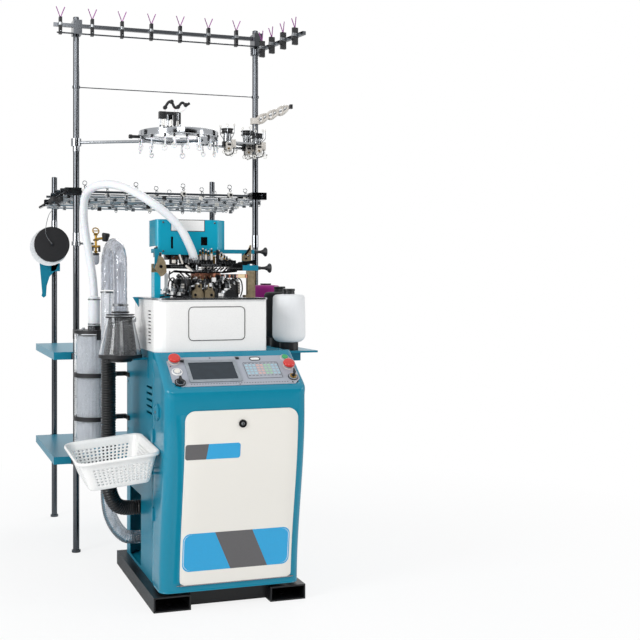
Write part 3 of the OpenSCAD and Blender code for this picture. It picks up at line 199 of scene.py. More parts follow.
def make_materials():
    """Every finish of the machine. Each comment says what the finish gives the eye."""
    # Soft orange peel and a clear highlight on folded steel
    finish(TEAL_COAT, "#0c7f9a", (0.3, 0.38), 2.5, 0.02, 0.95, Specular_IOR_Level=0.35)
    # Smooth wet gloss on the moulded front shell: a deep colour under sharp lights
    finish(
        SHELL_ENAMEL, "#0b839f", (0.2, 0.25), 40, 0.0, 0.985, Specular_IOR_Level=0.22,
        Coat_Weight=0.3, Coat_Roughness=0.04,
    )
    # Brighter blue-green of the hood, with hard white streaks on its bends
    finish(
        HOOD_ENAMEL, "#109ebb", (0.18, 0.24), 30, 0.0, 0.98, Specular_IOR_Level=0.3,
        Coat_Weight=0.4, Coat_Roughness=0.06,
    )
    # Warm white with a fine even grain
    finish(WHITE_ABS, "#ede9e1", (0.32, 0.42), 0.8, 0.01, 0.98, Coat_Weight=0.1)
    # Cooler white, a little glossier than the door
    finish(WHITE_ENAMEL, "#f4f3f1", (0.25, 0.33), 2.2, 0.01, 0.98, Coat_Weight=0.2)
    # Milky wall that lets some light into the ribs
    finish(MILKY_PVC, "#e9ebee", (0.3, 0.4), 5, 0.02, 0.95, Subsurface_Weight=0.15, Subsurface_Scale=0.004)
    # Deep black with soft glints along the ribs
    finish(BLACK_TPE, "#0d0f12", (0.35, 0.5), 2, 0.03, 0.7)
    # Grey haze of a used clear pipe
    finish(GREY_PVC, "#9a9ea6", (0.25, 0.4), 18, 0.02, 0.85, Coat_Weight=0.2)
    # Near-invisible wall that shows only its edges and glints
    finish(ACRYLIC, "#f6f8fa", (0.02, 0.06), 30, 0.02, 0.99, Transmission_Weight=0.97, IOR=1.3)
    # Flat silver-grey foil on the console, without a highlight
    finish("Grey polyester overlay, screen printed", "#a9aeb8", (0.35, 0.45), 0.6, 0.005, 0.96)
    # Dark blue-black glass with a sharp reflection
    finish(GLASS, "#27323b", (0.1, 0.16), 25, 0.0, 0.85, Specular_IOR_Level=0.3)
    # Hot-bent pipe: long dark and bright streaks in a bluish haze
    finish(CLEAR_PVC, "#eaedf3", (0.04, 0.14), 9, 0.12, 0.64, stretch=(1, 1, 0.12), Transmission_Weight=0.9)
    # Silver-grey gauze whose open threads flicker from light to dark
    finish("Grey nylon gauze, woven", "#d6d9de", (0.6, 0.8), 3.2, 0.3, 0.66)
    # Bright red and green caps that catch small highlights
    finish("Signal red moulded polycarbonate", "#d2281f", (0.2, 0.28), 1.5, 0.005, 0.95, Coat_Weight=0.3)
    finish("Signal green moulded polycarbonate", "#26a35a", (0.2, 0.28), 1.5, 0.005, 0.95, Coat_Weight=0.3)
    # Plain satin black of clips, knobs and sensor bodies
    finish(BLACK_NYLON, "#141518", (0.35, 0.48), 0.7, 0.02, 0.8)
    # Blackened rails with a dusty sheen
    finish("Black enamel on welded channel", "#0c0d10", (0.35, 0.5), 3, 0.03, 0.75)
    # Turned parts with fine rings of grey
    finish(STEEL, "#a3a6a9", (0.16, 0.32), 0.9, 0.008, 0.7, stretch=(1, 1, 6), Metallic=1.0)
    # Darker, oil-wet steel among the needles
    finish(SPRING_STEEL, "#6f7174", (0.2, 0.4), 1.6, 0.01, 0.55, Metallic=1.0)
    # Darker tube of the stands, with a soft grey glance
    finish(TUBE, "#5c5f63", (0.14, 0.18), 60, 0.0, 0.94, stretch=(1, 1, 0.1), Metallic=1.0)
    # Long vertical reflections of the bright rings
    finish(CHROME, "#a3a6aa", (0.1, 0.13), 60, 0.0, 0.96, stretch=(1, 1, 0.1), Metallic=1.0)
    # Warm red-brown ring at the heart of the head
    finish(COPPER, "#9a6a56", (0.25, 0.42), 2.4, 0.01, 0.62, Metallic=1.0)
    # Soft brushed streaks on the band under the feeder ring and on the tray's rails
    finish(ALUMINIUM, "#c4c7ca", (0.28, 0.4), 0.7, 0.01, 0.88, stretch=(1, 1, 8), Metallic=0.9)
    # Satin white of ferrules and connectors
    finish(PALE_NYLON, "#d8d2ca", (0.35, 0.45), 1.2, 0.01, 0.92)
    # Purple glints of the sensors' feeler wires
    finish("Purple anodised spring wire", "#93418f", (0.25, 0.35), 2, 0.0, 0.9, Metallic=0.6)
    # Thin dark bars with a clean highlight
    finish(OXIDE, "#2c2d30", (0.2, 0.34), 1.5, 0.01, 0.7, Metallic=0.9)
    # Yellow glints of small fittings
    finish(BRASS, "#b8924a", (0.2, 0.34), 1.8, 0.01, 0.75, Metallic=1.0)
    # Dull straw-coloured plate with faint clouds
    finish(ZINC, "#b3a284", (0.34, 0.48), 9, 0.01, 0.82, Metallic=0.85)
    # Pale cool sheet of brackets
    finish(GALVANISED, "#a2a9b0", (0.32, 0.46), 12, 0.01, 0.86, Metallic=0.8)
    # Grey cast body with a sandy surface
    finish("Grey paint on sand cast iron", "#7f868c", (0.45, 0.6), 1.4, 0.08, 0.85)
    # Open dull cells of the package's face
    finish("Black polyurethane foam, cut", "#2b2a2c", (0.85, 0.95), 1.6, 0.3, 0.5)
    # Glazed white eyelets
    finish(ALUMINA, "#f2efe8", (0.12, 0.2), 4, 0.0, 0.97, Coat_Weight=0.4)
    # Printed fields in plain colours
    finish("Blue vinyl film, printed", "#1da2d8", (0.3, 0.38), 6, 0.0, 0.97, Coat_Weight=0.2)
    finish("Dark grey vinyl film, printed", "#5d5b5c", (0.3, 0.38), 6, 0.0, 0.95, Coat_Weight=0.2)
    finish(INK, "#17181a", (0.4, 0.5), 2, 0.0, 0.9)
    finish("Pale blue key film, printed", "#a9c9d6", (0.35, 0.45), 2, 0.0, 0.95)
    finish("Pale pink key film, printed", "#d7b4ae", (0.35, 0.45), 2, 0.0, 0.95)
    finish("Pale green key film, printed", "#a5cdb0", (0.35, 0.45), 2, 0.0, 0.95)
    # Studio cards: dead black without any shine
    finish("Black felt, pressed", "#050505", (0.95, 1.0), 2, 0.0, 0.9, Specular_IOR_Level=0.0)
    # Fine crossing threads on each package
    wound("White polyester yarn, cross wound", "#f7f8f9", (300, -52), 38, 4.2)
    wound("Black polyester yarn, cross wound", "#131315", (318, 100), 38, 4.2)
    wound("Magenta polyester yarn, cross wound", "#a81b88", (312, 245), 38, 4.2)


# Shape helpers


def unit(v):
    """Vectors scaled to length one."""
    return v / np.linalg.norm(v, axis=-1, keepdims=True)


def course(points, step=None, count=None):
    """Evenly spaced points along a Catmull-Rom curve: on each span a cubic whose end
    slopes are half the chord between the two neighbours."""
    p = np.asarray(points, float)
    padded = np.pad(p, ((1, 2), (0, 0)), "edge")
    a, b, c, d = (padded[k : k + len(p) - 1, None] for k in range(4))
    t = np.linspace(0, 1, 24, endpoint=False)[None, :, None]
    q = 0.5 * (2 * b + (c - a) * t + (2 * a - 5 * b + 4 * c - d) * t**2 + (3 * b - a - 3 * c + d) * t**3)
    q = np.vstack([q.reshape(-1, 3), p[-1:]])
    s = np.concatenate([[0], np.cumsum(np.linalg.norm(np.diff(q, axis=0), axis=1))])
    n = count or max(2, round(s[-1] / step) + 1)
    return np.stack([np.interp(np.linspace(0, s[-1], n), s, q[:, k]) for k in range(3)], -1)


def sweep(curve, radius, sides=16, up=None):
    """Rings around a curve: centre + radius (side cos a + top sin a), side being across
    up and the curve's direction.

    Without an up vector, the direction that the curve leaves least is used."""
    tangent = unit(np.gradient(curve, axis=0))
    up = np.linalg.svd(tangent)[2][-1] if up is None else np.asarray(up, float)
    side = unit(np.cross(np.broadcast_to(up, tangent.shape), tangent))
    top = np.cross(tangent, side)
    a = np.linspace(0, math.tau, sides, endpoint=False)[None, :, None]
    r = np.broadcast_to(np.asarray(radius, float), (len(curve),))[:, None, None]
    return curve[:, None] + r * (side[:, None] * np.cos(a) + top[:, None] * np.sin(a))


def lathe(profile, origin=(0, 0, 0), axis=(0, 0, 1), sides=48):
    """A (radius, height) profile turned about an axis: origin + height axis + radius (u cos a + v sin a)."""
    w = unit(np.asarray(axis, float))
    u = unit(np.cross(w, (0.0, 1.0, 0.0) if abs(w[1]) < 0.9 else (1.0, 0.0, 0.0)))
    v = np.cross(w, u)
    profile = np.asarray(profile, float)
    a = np.linspace(0, math.tau, sides, endpoint=False)[None, :, None]
    r, h = profile[:, 0, None, None], profile[:, 1, None, None]
    return np.asarray(origin, float) + h * w + r * (u * np.cos(a) + v * np.sin(a))


def capped(rings):
    """Rings closed with a point at each end."""
    first = np.broadcast_to(rings[:1].mean(1, keepdims=True), rings[:1].shape)
    last = np.broadcast_to(rings[-1:].mean(1, keepdims=True), rings[-1:].shape)
    return np.concatenate([first, rings, last])


def outline(w, h, r, n=5):
    """Points around a rectangle with corner radius r: four quarter circles, counter-clockwise."""
    r = min(r, w / 2, h / 2)
    a = np.linspace(0, math.pi / 2, n + 1)
    turns = [
        np.stack([sx * (w / 2 - r) + r * np.cos(a + k), sy * (h / 2 - r) + r * np.sin(a + k)], -1)
        for k, sx, sy in ((0, 1, 1), (math.pi / 2, -1, 1), (math.pi, -1, -1), (1.5 * math.pi, 1, -1))
    ]
    return np.concatenate(turns)


def plate(w, h, t, r=2.0, edge=0.5, n=5):
    """A rounded plate of thickness t in its own plane, its top edge broken by `edge`."""
    low, top = outline(w, h, r, n), outline(w - 2 * edge, h - 2 * edge, max(r - edge, 0.01), n)
    rows = [(low, 0.0), (low, t - edge), (top, t)]
    return capped(np.stack([np.column_stack([o, np.full(len(o), z)]) for o, z in rows]))


def band(w, h, r, wide, t):
    """A flat frame line: the strip between a rounded outline and the same outline moved in by `wide`."""
    outer, inner = outline(w, h, r), outline(w - 2 * wide, h - 2 * wide, max(r - wide, 0.01))
    rows = [(outer, 0.0), (outer, t), (inner, t), (inner, 0.0), (outer, 0.0)]
    return np.stack([np.column_stack([o, np.full(len(o), z)]) for o, z in rows])


def put(points, origin, x_axis=(1, 0, 0), y_axis=(0, 1, 0)):
    """Moves points from their own plane to the one with this origin and these two axes."""
    x, y = unit(np.asarray(x_axis, float)), unit(np.asarray(y_axis, float))
    return np.asarray(origin, float) + points @ np.stack([x, y, np.cross(x, y)])


def front(points, x, y, z):
    """Stands a plate up so that it faces the front, its back at the depth y."""
    return put(points, (x, y, z), (1, 0, 0), (0, 0, 1))


def left_side(points, x, y, z):
    """Stands a plate up so that it faces left, its back at x."""
    return put(points, (x, y, z), (0, -1, 0), (0, 0, 1))


def slab(x0, y0, z0, x1, y1, z1, edge=0.8, r=2.0):
    """A box between two corners, its upright edges rounded by r and its other edges broken by `edge`."""
    w, h, t = x1 - x0, y1 - y0, z1 - z0
    low, full = outline(w - 2 * edge, h - 2 * edge, max(r - edge, 0.01), 3), outline(w, h, r, 3)
    rows = [(low, 0.0), (full, edge), (full, t - edge), (low, t)]
    rings = np.stack([np.column_stack([o, np.full(len(o), z)]) for o, z in rows])
    return capped(rings) + ((x0 + x1) / 2, (y0 + y1) / 2, z0)


def prism(corners, y0, y1, edge=0.6):
    """An outline in the XZ plane, counter-clockwise from the front, given a depth from y1 forward to y0."""
    flat = np.asarray(corners, float)
    mid = flat.mean(0)
    small = mid + (flat - mid) * (1 - edge / np.abs(flat - mid).max())
    rows = [(small, y1), (flat, y1 - edge), (flat, y0 + edge), (small, y0)]
    return capped(np.stack([np.column_stack([o[:, 0], np.full(len(o), y), o[:, 1]]) for o, y in rows]))


def bar(a, b, r, sides=14):
    """A round bar between two points, its ends broken."""
    a, b = np.asarray(a, float), np.asarray(b, float)
    n = float(np.linalg.norm(b - a))
    e = min(r * 0.25, n / 4)
    return capped(lathe([(r - e, 0), (r, e), (r, n - e), (r - e, n)], a, b - a, sides))


def cable(points, r, sides=10, count=24):
    """A round wire along a smooth curve."""
    return capped(sweep(course(points, count=count), r, sides))


def lever(a, b, wide, t, face):
    """A flat lever with round ends between two points, its flat side turned to `face`."""
    a, b = np.asarray(a, float), np.asarray(b, float)
    arm = plate(float(np.linalg.norm(b - a)) + wide, wide, t, wide / 2, min(0.3, t / 3), 4)
    return put(arm, (a + b) / 2, b - a, np.cross(face, b - a))


def coil(a, b, r, turns, wire):
    """A coil spring: centre line from a to b plus r (u cos t + v sin t), t running through all the turns."""
    a, b = np.asarray(a, float), np.asarray(b, float)
    w = unit(b - a)
    u = unit(np.cross(w, (0.3, 0.9, 0.1)))
    t = np.linspace(0, 1, turns * 12 + 1)[:, None]
    spin = r * (u * np.cos(math.tau * turns * t) + np.cross(w, u) * np.sin(math.tau * turns * t))
    return capped(sweep(a + (b - a) * t + spin, wire, 6, w))


def hoop(centre, radius, wire, axis=(0, 0, 1)):
    """A round wire ring: the circle radius + wire cos a, wire sin a turned about an axis."""
    a = np.linspace(0, math.tau, 11)
    return lathe(np.stack([radius + wire * np.cos(a), wire * np.sin(a)], -1), centre, axis, 32)


def collar(place, radius, low, high, sides=40):
    """A ring clamped around a pole, between two heights over its place."""
    return capped(
        lathe([(POLE_BORE, low), (radius, low), (radius, high), (POLE_BORE, high)], place, sides=sides)
    )


def button(place, axis, r, h, sides=20):
    """A round head with a broken rim, its foot at `place`; six sides make a nut."""
    return capped(lathe([(r, 0), (r, h * 0.7), (r * 0.8, h)], place, axis, sides))


def turned(points, degrees, centre=(0, 0, 0)):
    """Turns points about an upright axis through `centre`."""
    c, s = math.cos(math.radians(degrees)), math.sin(math.radians(degrees))
    centre = np.asarray(centre, float)
    return (points - centre) @ np.array([[c, s, 0], [-s, c, 0], [0, 0, 1]]) + centre


def mixed(k, low, high):
    """The k-th of a row of numbers between two ends, spread by the golden section so that
    neighbours differ."""
    return low + (high - low) * ((k * 0.618034) % 1)


class Part:
    """One grid of points for a piece: its material number, whether it wraps round, and which quads stay."""

    def __init__(self, points, material=0, wrap=True, keep=None):
        self.points, self.material, self.wrap, self.keep = points, material, wrap, keep

    def quads(self):
        """Corner numbers of the quads between neighbouring rows and columns."""
        rows, cols = self.points.shape[:2]
        ids = np.arange(rows * cols).reshape(rows, cols)
        near, far = (ids, np.roll(ids, -1, 1)) if self.wrap else (ids[:, :-1], ids[:, 1:])
        q = np.stack([near[:-1], far[:-1], far[1:], near[1:]], -1)
        return q.reshape(-1, 4) if self.keep is None else q[self.keep]


def parts(*groups):
    """Parts from lists of closed rings: the first list takes material 0, the second material 1, and on."""
    return [Part(rings, number) for number, group in enumerate(groups) for rings in group]


def piece(name, pieces, materials, body="machine", nodes=(), crease=35, solid=0.0, bevel=0.0):
    """One object from its parts, in metres, merged at seams and poles, smooth except at
    creases, riding a body."""
    points = np.concatenate([p.points.reshape(-1, 3) for p in pieces]) / 1000
    quads = [p.quads() for p in pieces]
    starts = np.cumsum([0] + [p.points.shape[0] * p.points.shape[1] for p in pieces[:-1]])
    corners = np.concatenate([q + s for q, s in zip(quads, starts)])
    numbers = np.concatenate([np.full(len(q), p.material) for q, p in zip(quads, pieces)])
    mesh = bpy.data.meshes.new(name)
    mesh.vertices.add(len(points))
    mesh.vertices.foreach_set("co", points.ravel())
    mesh.loops.add(corners.size)
    mesh.loops.foreach_set("vertex_index", corners.ravel())
    mesh.polygons.add(len(corners))
    mesh.polygons.foreach_set("loop_start", np.arange(0, corners.size, 4))
    mesh.polygons.foreach_set("material_index", numbers)
    for material in materials:
        mesh.materials.append(bpy.data.materials[material])
    mesh.update(calc_edges=True)
    work = bmesh.new()
    work.from_mesh(mesh)
    bmesh.ops.remove_doubles(work, verts=work.verts, dist=1e-6)
    bmesh.ops.dissolve_degenerate(work, edges=work.edges, dist=1e-7)
    loose = [v for v in work.verts if not v.link_faces]
    bmesh.ops.delete(work, geom=loose, context="VERTS")
    work.to_mesh(mesh)
    work.free()
    mesh.polygons.foreach_set("use_smooth", np.ones(len(mesh.polygons), bool))
    mesh.set_sharp_from_angle(angle=math.radians(crease))
    obj = bpy.data.objects.new(name, mesh)
    bpy.context.scene.collection.objects.link(obj)
    if solid:
        thick = obj.modifiers.new("Wall", "SOLIDIFY")
        thick.thickness, thick.offset = solid / 1000, -1
    if bevel:
        edge = obj.modifiers.new("Edge", "BEVEL")
        edge.width, edge.segments, edge.limit_method = bevel / 1000, 2, "ANGLE"
    if body:
        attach(obj, body)
    if nodes:
        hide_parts(*nodes)
    return obj


# Finishes of the CAD nodes, by the material slot of the part's record
FINISHES = {
    "teal_paint": TEAL_COAT,
    "teal_moulding": SHELL_ENAMEL,
    "white_moulding": WHITE_ABS,
    "white_sheet": WHITE_ENAMEL,
    "white_hose": MILKY_PVC,
    "panel_foil": "Grey polyester overlay, screen printed",
    "display": GLASS,
    "red_button": "Signal red moulded polycarbonate",
    "green_button": "Signal green moulded polycarbonate",
    "black_plastic": BLACK_NYLON,
    "machined_steel": STEEL,
    "chrome": CHROME,
    "motor_case": "Grey paint on sand cast iron",
    "copper_alloy": COPPER,
    "zinc_plate": ZINC,
    "clear_plastic": ACRYLIC,
    "grey_pipe": GREY_PVC,
    "package_bracket": TEAL_COAT,
    "yarn": "White polyester yarn, cross wound",
}
# Nodes whose finish differs from their slot's
SPECIAL = {
    "base_frame": "Black enamel on welded channel",
    "pivot_column": HOOD_ENAMEL,
    "door_lock": OXIDE,
    "creel_bars": TUBE,
    "key_switch": BLACK_NYLON,
    "needles": SPRING_STEEL,
}
# Slope of the console
CONSOLE_TILT = math.radians(35.4)


def shell_front(z):
    """Depth of the cover's front at height z: 321 plus 73 times the ease 3 t2 - 2 t3 over
    the height 60 to 640."""
    t = np.clip((np.asarray(z, float) - 60) / 580, 0, 1)
    return 321 + 73 * t * t * (3 - 2 * t)


def cover_piece():
    """The moulded front shell. Each level is a rounded rectangle, open at the back; its
    front edge follows the lean of the front, a nose of radius 22, a slope of 35.4 degrees
    and a flat top. Door and console openings are left out."""
    low = np.union1d(np.linspace(60, 713.7, 90), (95, 648))
    nose = np.linspace(0, math.pi / 2 - CONSOLE_TILT, 9)[1:]
    slope = np.union1d(np.linspace(-91.8, 91.8, 24), (-78, 56))[1:]
    depth = np.concatenate(
        [
            np.where(low <= 640, shell_front(low), 394),
            372 + 22 * np.cos(nose),
            309.85 - slope * math.cos(CONSOLE_TILT),
        ]
    )
    height = np.concatenate([low, 713.7 + 22 * np.sin(nose), 784.8 + slope * math.sin(CONSOLE_TILT)])
    on_slope = np.clip((height - 700) / 40, 0, 1)[:, None]
    r = 32 - 12 * on_slope
    d, edge = depth[:, None], 240 - r
    wall = np.linspace(0, 1, 7)[None, :-1]
    a = np.linspace(0, math.pi / 2, 13)[None, :]
    x0, x1 = -166 - 37 * on_slope, 190 + 28 * on_slope
    mid = x0 + (x1 - x0) * np.linspace(0, 1, 41)[None, :]
    zeros = np.zeros_like(d)
    xs = [zeros - 240 + 0 * wall, -edge - r * np.cos(a), mid, edge + r * np.sin(a), zeros + 240 + 0 * wall]
    ys = [
        -197 - (d - r - 197) * wall,
        -(d - r) - r * np.sin(a),
        -d + 0 * mid,
        -(d - r) - r * np.cos(a),
        -197 - (d - r - 197) * wall[:, ::-1],
    ]
    x, y = np.concatenate(xs, 1), np.concatenate(ys, 1)
    skin = np.stack([x, y, np.broadcast_to(height[:, None], x.shape)], -1)
    back = -197 + (skin[-1:, :, 1:2] + 197) * np.linspace(0.8, 0, 5)[:, None, None]
    lid = skin[-1:] * (1, 0, 1) + (0, 1, 0) * back
    keep = np.ones((len(height) + 4, x.shape[1] - 1), bool)
    cols = np.arange(x.shape[1] - 1)
    inner = (cols >= 19) & (cols < 59)
    rows = (height[:-1] >= 95 - 1e-6) & (height[1:] <= 648 + 1e-6)
    first = len(low) + len(nose) - 1
    local = np.concatenate([np.full(first, np.nan), [-91.8], slope])
    rows |= (local[:-1] >= -78 - 1e-6) & (local[1:] <= 56 + 1e-6)
    keep[np.ix_(np.append(rows, np.zeros(5, bool)), inner)] = False
    shell = Part(np.concatenate([skin, lid]), 0, False, keep)
    piece(
        "front_shell", [shell], [SHELL_ENAMEL], nodes=("front_cover",),
        solid=5, bevel=1.5,
    )


def door_skin(x0, x1, z, out):
    """Rows of points on the door: x runs between x0(z) and x1(z), and y follows the
    shell's front plus `out`."""
    x = x0[:, None] + (x1 - x0)[:, None] * np.linspace(0, 1, 25)
    y, z = np.broadcast_arrays(-(shell_front(z) + out)[:, None], z[:, None])
    return np.stack(np.broadcast_arrays(x, y, z), -1)


def door_piece():
    """The white door: the shell's front curve offset by 6.5 mm, corners of radius 34
    above and 14 below, with its hinge rod and a square hole behind the lock's bezel."""
    z = np.union1d(
        np.concatenate([np.linspace(84.5, 660, 90), 626 + 34 * np.sin(np.linspace(0, QUARTER, 12))]),
        (606, 624),
    )
    r = np.where(z > 626, 34 - np.sqrt(np.maximum(34**2 - (z - 626) ** 2, 0)), 0)
    r = r + np.where(z < 98.5, 14 - np.sqrt(np.maximum(14**2 - (98.5 - z) ** 2, 0)), 0)
    inner = np.linspace(-130, 160, 30)
    inner = np.union1d(inner[np.abs(inner - 13.5) > 11], (4.5, 22.5))
    x = np.concatenate([(-178 + r)[:, None] + 0 * inner[:1], np.broadcast_to(inner, (len(z), len(inner)))], 1)
    x = np.concatenate([x, (205 - r)[:, None]], 1)
    y = np.broadcast_to(-(shell_front(z) + 6.5)[:, None], x.shape)
    keep = np.ones((len(z) - 1, x.shape[1] - 1), bool)
    hole = (z[:-1] >= 605.9) & (z[1:] <= 624.1)
    column = (x[0, :-1] >= 4.4) & (x[0, 1:] <= 22.6)
    keep[np.ix_(hole, column)] = False
    skin = Part(np.stack([x, y, np.broadcast_to(z[:, None], x.shape)], -1), 0, False, keep)
    piece(
        "front_door_panel", [skin], [WHITE_ABS], "front_door", ("front_door",),
        solid=6, bevel=1.2,
    )
    rod = capped(lathe([(3, -178), (3, 205)], (0, -325, 84), (1, 0, 0), 20))
    pin = capped(lathe([(1.5, -188), (1.5, 215)], (0, -325, 84), (1, 0, 0), 16))
    piece("front_door_hinge", parts([rod, pin]), [STEEL], "front_door")


def door_fields():
    """Plain printed fields on the door, without any sign: films 0.25 mm over the skin,
    with slanting joints between their colours and rounded outer corners."""
    made = []
    for z0, z1, r, lean, cuts, colours in (
        (503, 553, 9, 0.16, (-177, -103, 8), (1, 0)),
        (129, 256, 24, -0.45, (-172, -36, 92, 196), (0, 1, 0)),
    ):
        z = np.concatenate(
            [
                z0 + r * (1 - np.cos(np.linspace(0, QUARTER, 9))),
                z1 - r * (1 - np.sin(np.linspace(0, QUARTER, 9))),
            ]
        )
        off = np.where(z < z0 + r, z0 + r - z, np.where(z > z1 - r, z - z1 + r, 0))
        off = r - np.sqrt(np.maximum(r * r - off * off, 0))
        slant = (z - (z0 + z1) / 2) * lean
        for k, colour in enumerate(colours):
            left = cuts[k] + (off if k == 0 else slant)
            right = cuts[k + 1] - (off if k == len(colours) - 1 else -slant)
            made.append(Part(door_skin(left, right, z, 6.75), colour, False))
        rim = [cuts[0] + off + 4, cuts[-1] - off - 4]
        if z1 - z0 > 100:
            zz = z0 + 4 + (z - z0) * (z1 - z0 - 8) / (z1 - z0)
            for side in rim:
                line = door_skin(side - 0.7, side + 0.7, zz, 6.95)
                made.append(Part(line, 2, False))
    piece(
        "door_plain_fields", made,
        ["Blue vinyl film, printed", "Dark grey vinyl film, printed", WHITE_ENAMEL], "front_door",
        solid=0.2,
    )


# Points along the suction hose, the air hose and the sock pipe
SUCTION = [
    (-352, 300, 1017.5), (-354, 300, 1050), (-360, 302, 1110), (-371, 303, 1175), (-385, 300, 1258),
    (-394, 285, 1327), (-393, 250, 1393), (-370, 180, 1421), (-332, 95, 1424), (-291, 16, 1406),
    (-248, -45, 1375), (-202, -66, 1342), (-160, -69, 1311), (-132, -70, 1284.5), (-107, -70, 1256),
    (-82, -69, 1210), (-66, -67, 1174), (-60, -66, 1150.5),
]
AIR = [
    (-348, 25, 811), (-348, 25, 720), (-348, 25, 600), (-348, 25, 480), (-347, 26, 390), (-342, 32, 335),
    (-322, 43, 290), (-294, 57, 270), (-258, 70, 264), (-228, 70, 264), (-198.5, 70, 264),
]
PIPE = [
    (-340, 85, 1039), (-340, 85, 900), (-340, 85, 720), (-340, 86, 560), (-340, 88, 420), (-340, 92, 340),
    (-337, 99, 285), (-326, 108, 232), (-302, 117, 184), (-270, 125, 151), (-238, 127, 143),
    (-218, 127, 143), (-198.5, 127, 143),
]


def ribbed(route, radius, depth, pitch, up):
    """A ribbed hose: radius minus depth times a raised sine of the length over the pitch, six rings a rib."""
    line = course(route, step=pitch / 6)
    s = np.arange(len(line)) * (math.tau / 6)
    r = radius - depth * (0.5 - 0.5 * np.cos(s)) ** 0.7
    return capped(sweep(line, r, 28, up))


def hose_pieces(look):
    """White suction hose from the tank to the head, black air hose and clear sock pipe down to the blower."""
    hose = piece(
        "suction_hose_ribbed",
        [Part(ribbed(SUCTION, 15.2, look.white_rib, look.white_pitch, (0.78, 0.63, 0)))],
        [MILKY_PVC], None, crease=60,
    )
    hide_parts("suction_hose")
    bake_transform(hose)
    air = ribbed(AIR, 26.8, look.black_rib, look.black_pitch, (0, 1, 0.2))
    piece("air_hose_corrugated", [Part(air)], [BLACK_TPE], nodes=("air_hose",), crease=60)
    pipe = ribbed(PIPE, 24.2, 0.7, 8.0, (0, 1, 0.2))
    piece("sock_pipe_spiral", [Part(pipe)], [CLEAR_PVC], nodes=("sock_pipe",), crease=60)
    cuffs = [
        lathe([(24.6, z), (26, z + 1), (26, z + h - 1), (24.6, z + h)], (x, y, 0), sides=40)
        for x, y, z, h in ((-340, 85, 1033, 7), (-340, 85, 470, 14))
    ]
    piece("sock_pipe_clamps", parts([capped(c) for c in cuffs]), [STEEL])


# Axes of the receiver and of the waste tank, and where the clear bend comes down
RECEIVER = (-322, -60, 0)
TANK = (-349, 300, 0)
BEND_END = (-340, 85)


def receiver_pieces():
    """The clear bend over the receiver, a tube swept along a half circle, and the clear
    cone with its neck and rims."""
    start, end = np.array([*RECEIVER[:2], 1130.0]), np.array([*BEND_END, 1130.0])
    mid, out = (start + end) / 2, end - start
    r = np.linalg.norm(out) / 2
    out = out / np.linalg.norm(out)
    a = np.linspace(math.pi, 0, 25)
    arch = mid + r * (np.cos(a)[:, None] * out + np.sin(a)[:, None] * np.array([0, 0, 1.0]))
    line = np.vstack(
        [[(*RECEIVER[:2], 957), (*RECEIVER[:2], 1045)], arch, [(*BEND_END, 1085), (*BEND_END, 1044)]]
    )
    line = course(line, step=5)
    side = np.cross(out, (0, 0, 1.0))
    wave = 0.25 * np.sin(np.arange(len(line)) * 1.3)
    tube = np.concatenate([sweep(line, 23.8 + wave, 40, side), sweep(line, 21.6 + wave, 40, side)[::-1]])
    tube = np.concatenate([tube, tube[:1]])
    cone = lathe(
        [
            (71, 824.5), (73, 824.5), (72.4, 832), (64, 868), (56, 905), (49, 936), (46, 952), (46, 958),
            (28, 959), (28, 988), (24.3, 988), (24.3, 955), (43, 955), (43, 952), (46, 936), (53, 905),
            (61, 868), (69.6, 832), (71, 824.5),
        ],
        RECEIVER, sides=96,
    )
    piece(
        "receiver_clear_tube", [Part(tube, 1), Part(cone)],
        [ACRYLIC, CLEAR_PVC],
        nodes=("receiver_bend", "receiver_cone"), crease=50,
    )
    black = [(50.5, 949, 955, 46.3), (48.6, 958, 963, 29), (31, 966, 972, 28.3)]
    rims = [
        lathe([(i, a), (r, a + 0.8), (r, b - 0.8), (i, b), (i, a)], RECEIVER, sides=64)
        for r, a, b, i in black
    ]
    bright = [lathe([(24.4, 990), (27.5, 991), (27.5, 997), (24.4, 998), (24.4, 990)], RECEIVER, sides=64)]
    bright += [
        put(
            plate(10, 16, 7, 2), (RECEIVER[0] + 50 * math.cos(t), RECEIVER[1] + 50 * math.sin(t), 944),
            (-math.sin(t), math.cos(t), 0), (0, 0, 1),
        )
        for t in (-2.2, -0.6, 1.2)
    ]
    piece("receiver_rims", parts(bright, rims), [STEEL, BLACK_NYLON])


def receiver_base_piece():
    """The receiver's black base: a turned flange with its port block and hinge lugs, and a moulded screen,
    which is a cone of crossing bars with a hole wherever the row and the column number are both odd."""
    profile = [
        (36, 802), (42, 802), (42, 812), (74, 812), (75, 813), (75, 823), (74, 824), (36, 824), (36, 802),
    ]
    flange = lathe(profile, RECEIVER, sides=96)
    port = capped(lathe([(30, 812), (31, 813), (31, 823), (30, 824)], (-348, 25, 0), sides=48))
    block = slab(-348, -20, 812.5, -308, 25, 823.5, 0.6, 1)
    lugs = [slab(-368, -60 + 8 * k - 2, 794, -358, -60 + 8 * k + 2, 813, 0.5, 1) for k in (-1, 1)]
    columns, rows = 56, 27
    z = np.linspace(823.5, 950, rows)
    screen = lathe(np.column_stack([58 - 18 * (z - 823) / 127, z]), RECEIVER, sides=columns)
    holes = np.outer(np.arange(rows - 1) % 2 == 1, np.arange(columns) % 2 == 1)
    piece("receiver_screen", [Part(screen, 0, True, ~holes)], [BLACK_NYLON], solid=2, crease=50)
    piece(
        "receiver_base_moulding", parts([flange, port, block] + lugs), [BLACK_NYLON],
        nodes=("receiver_base",),
    )


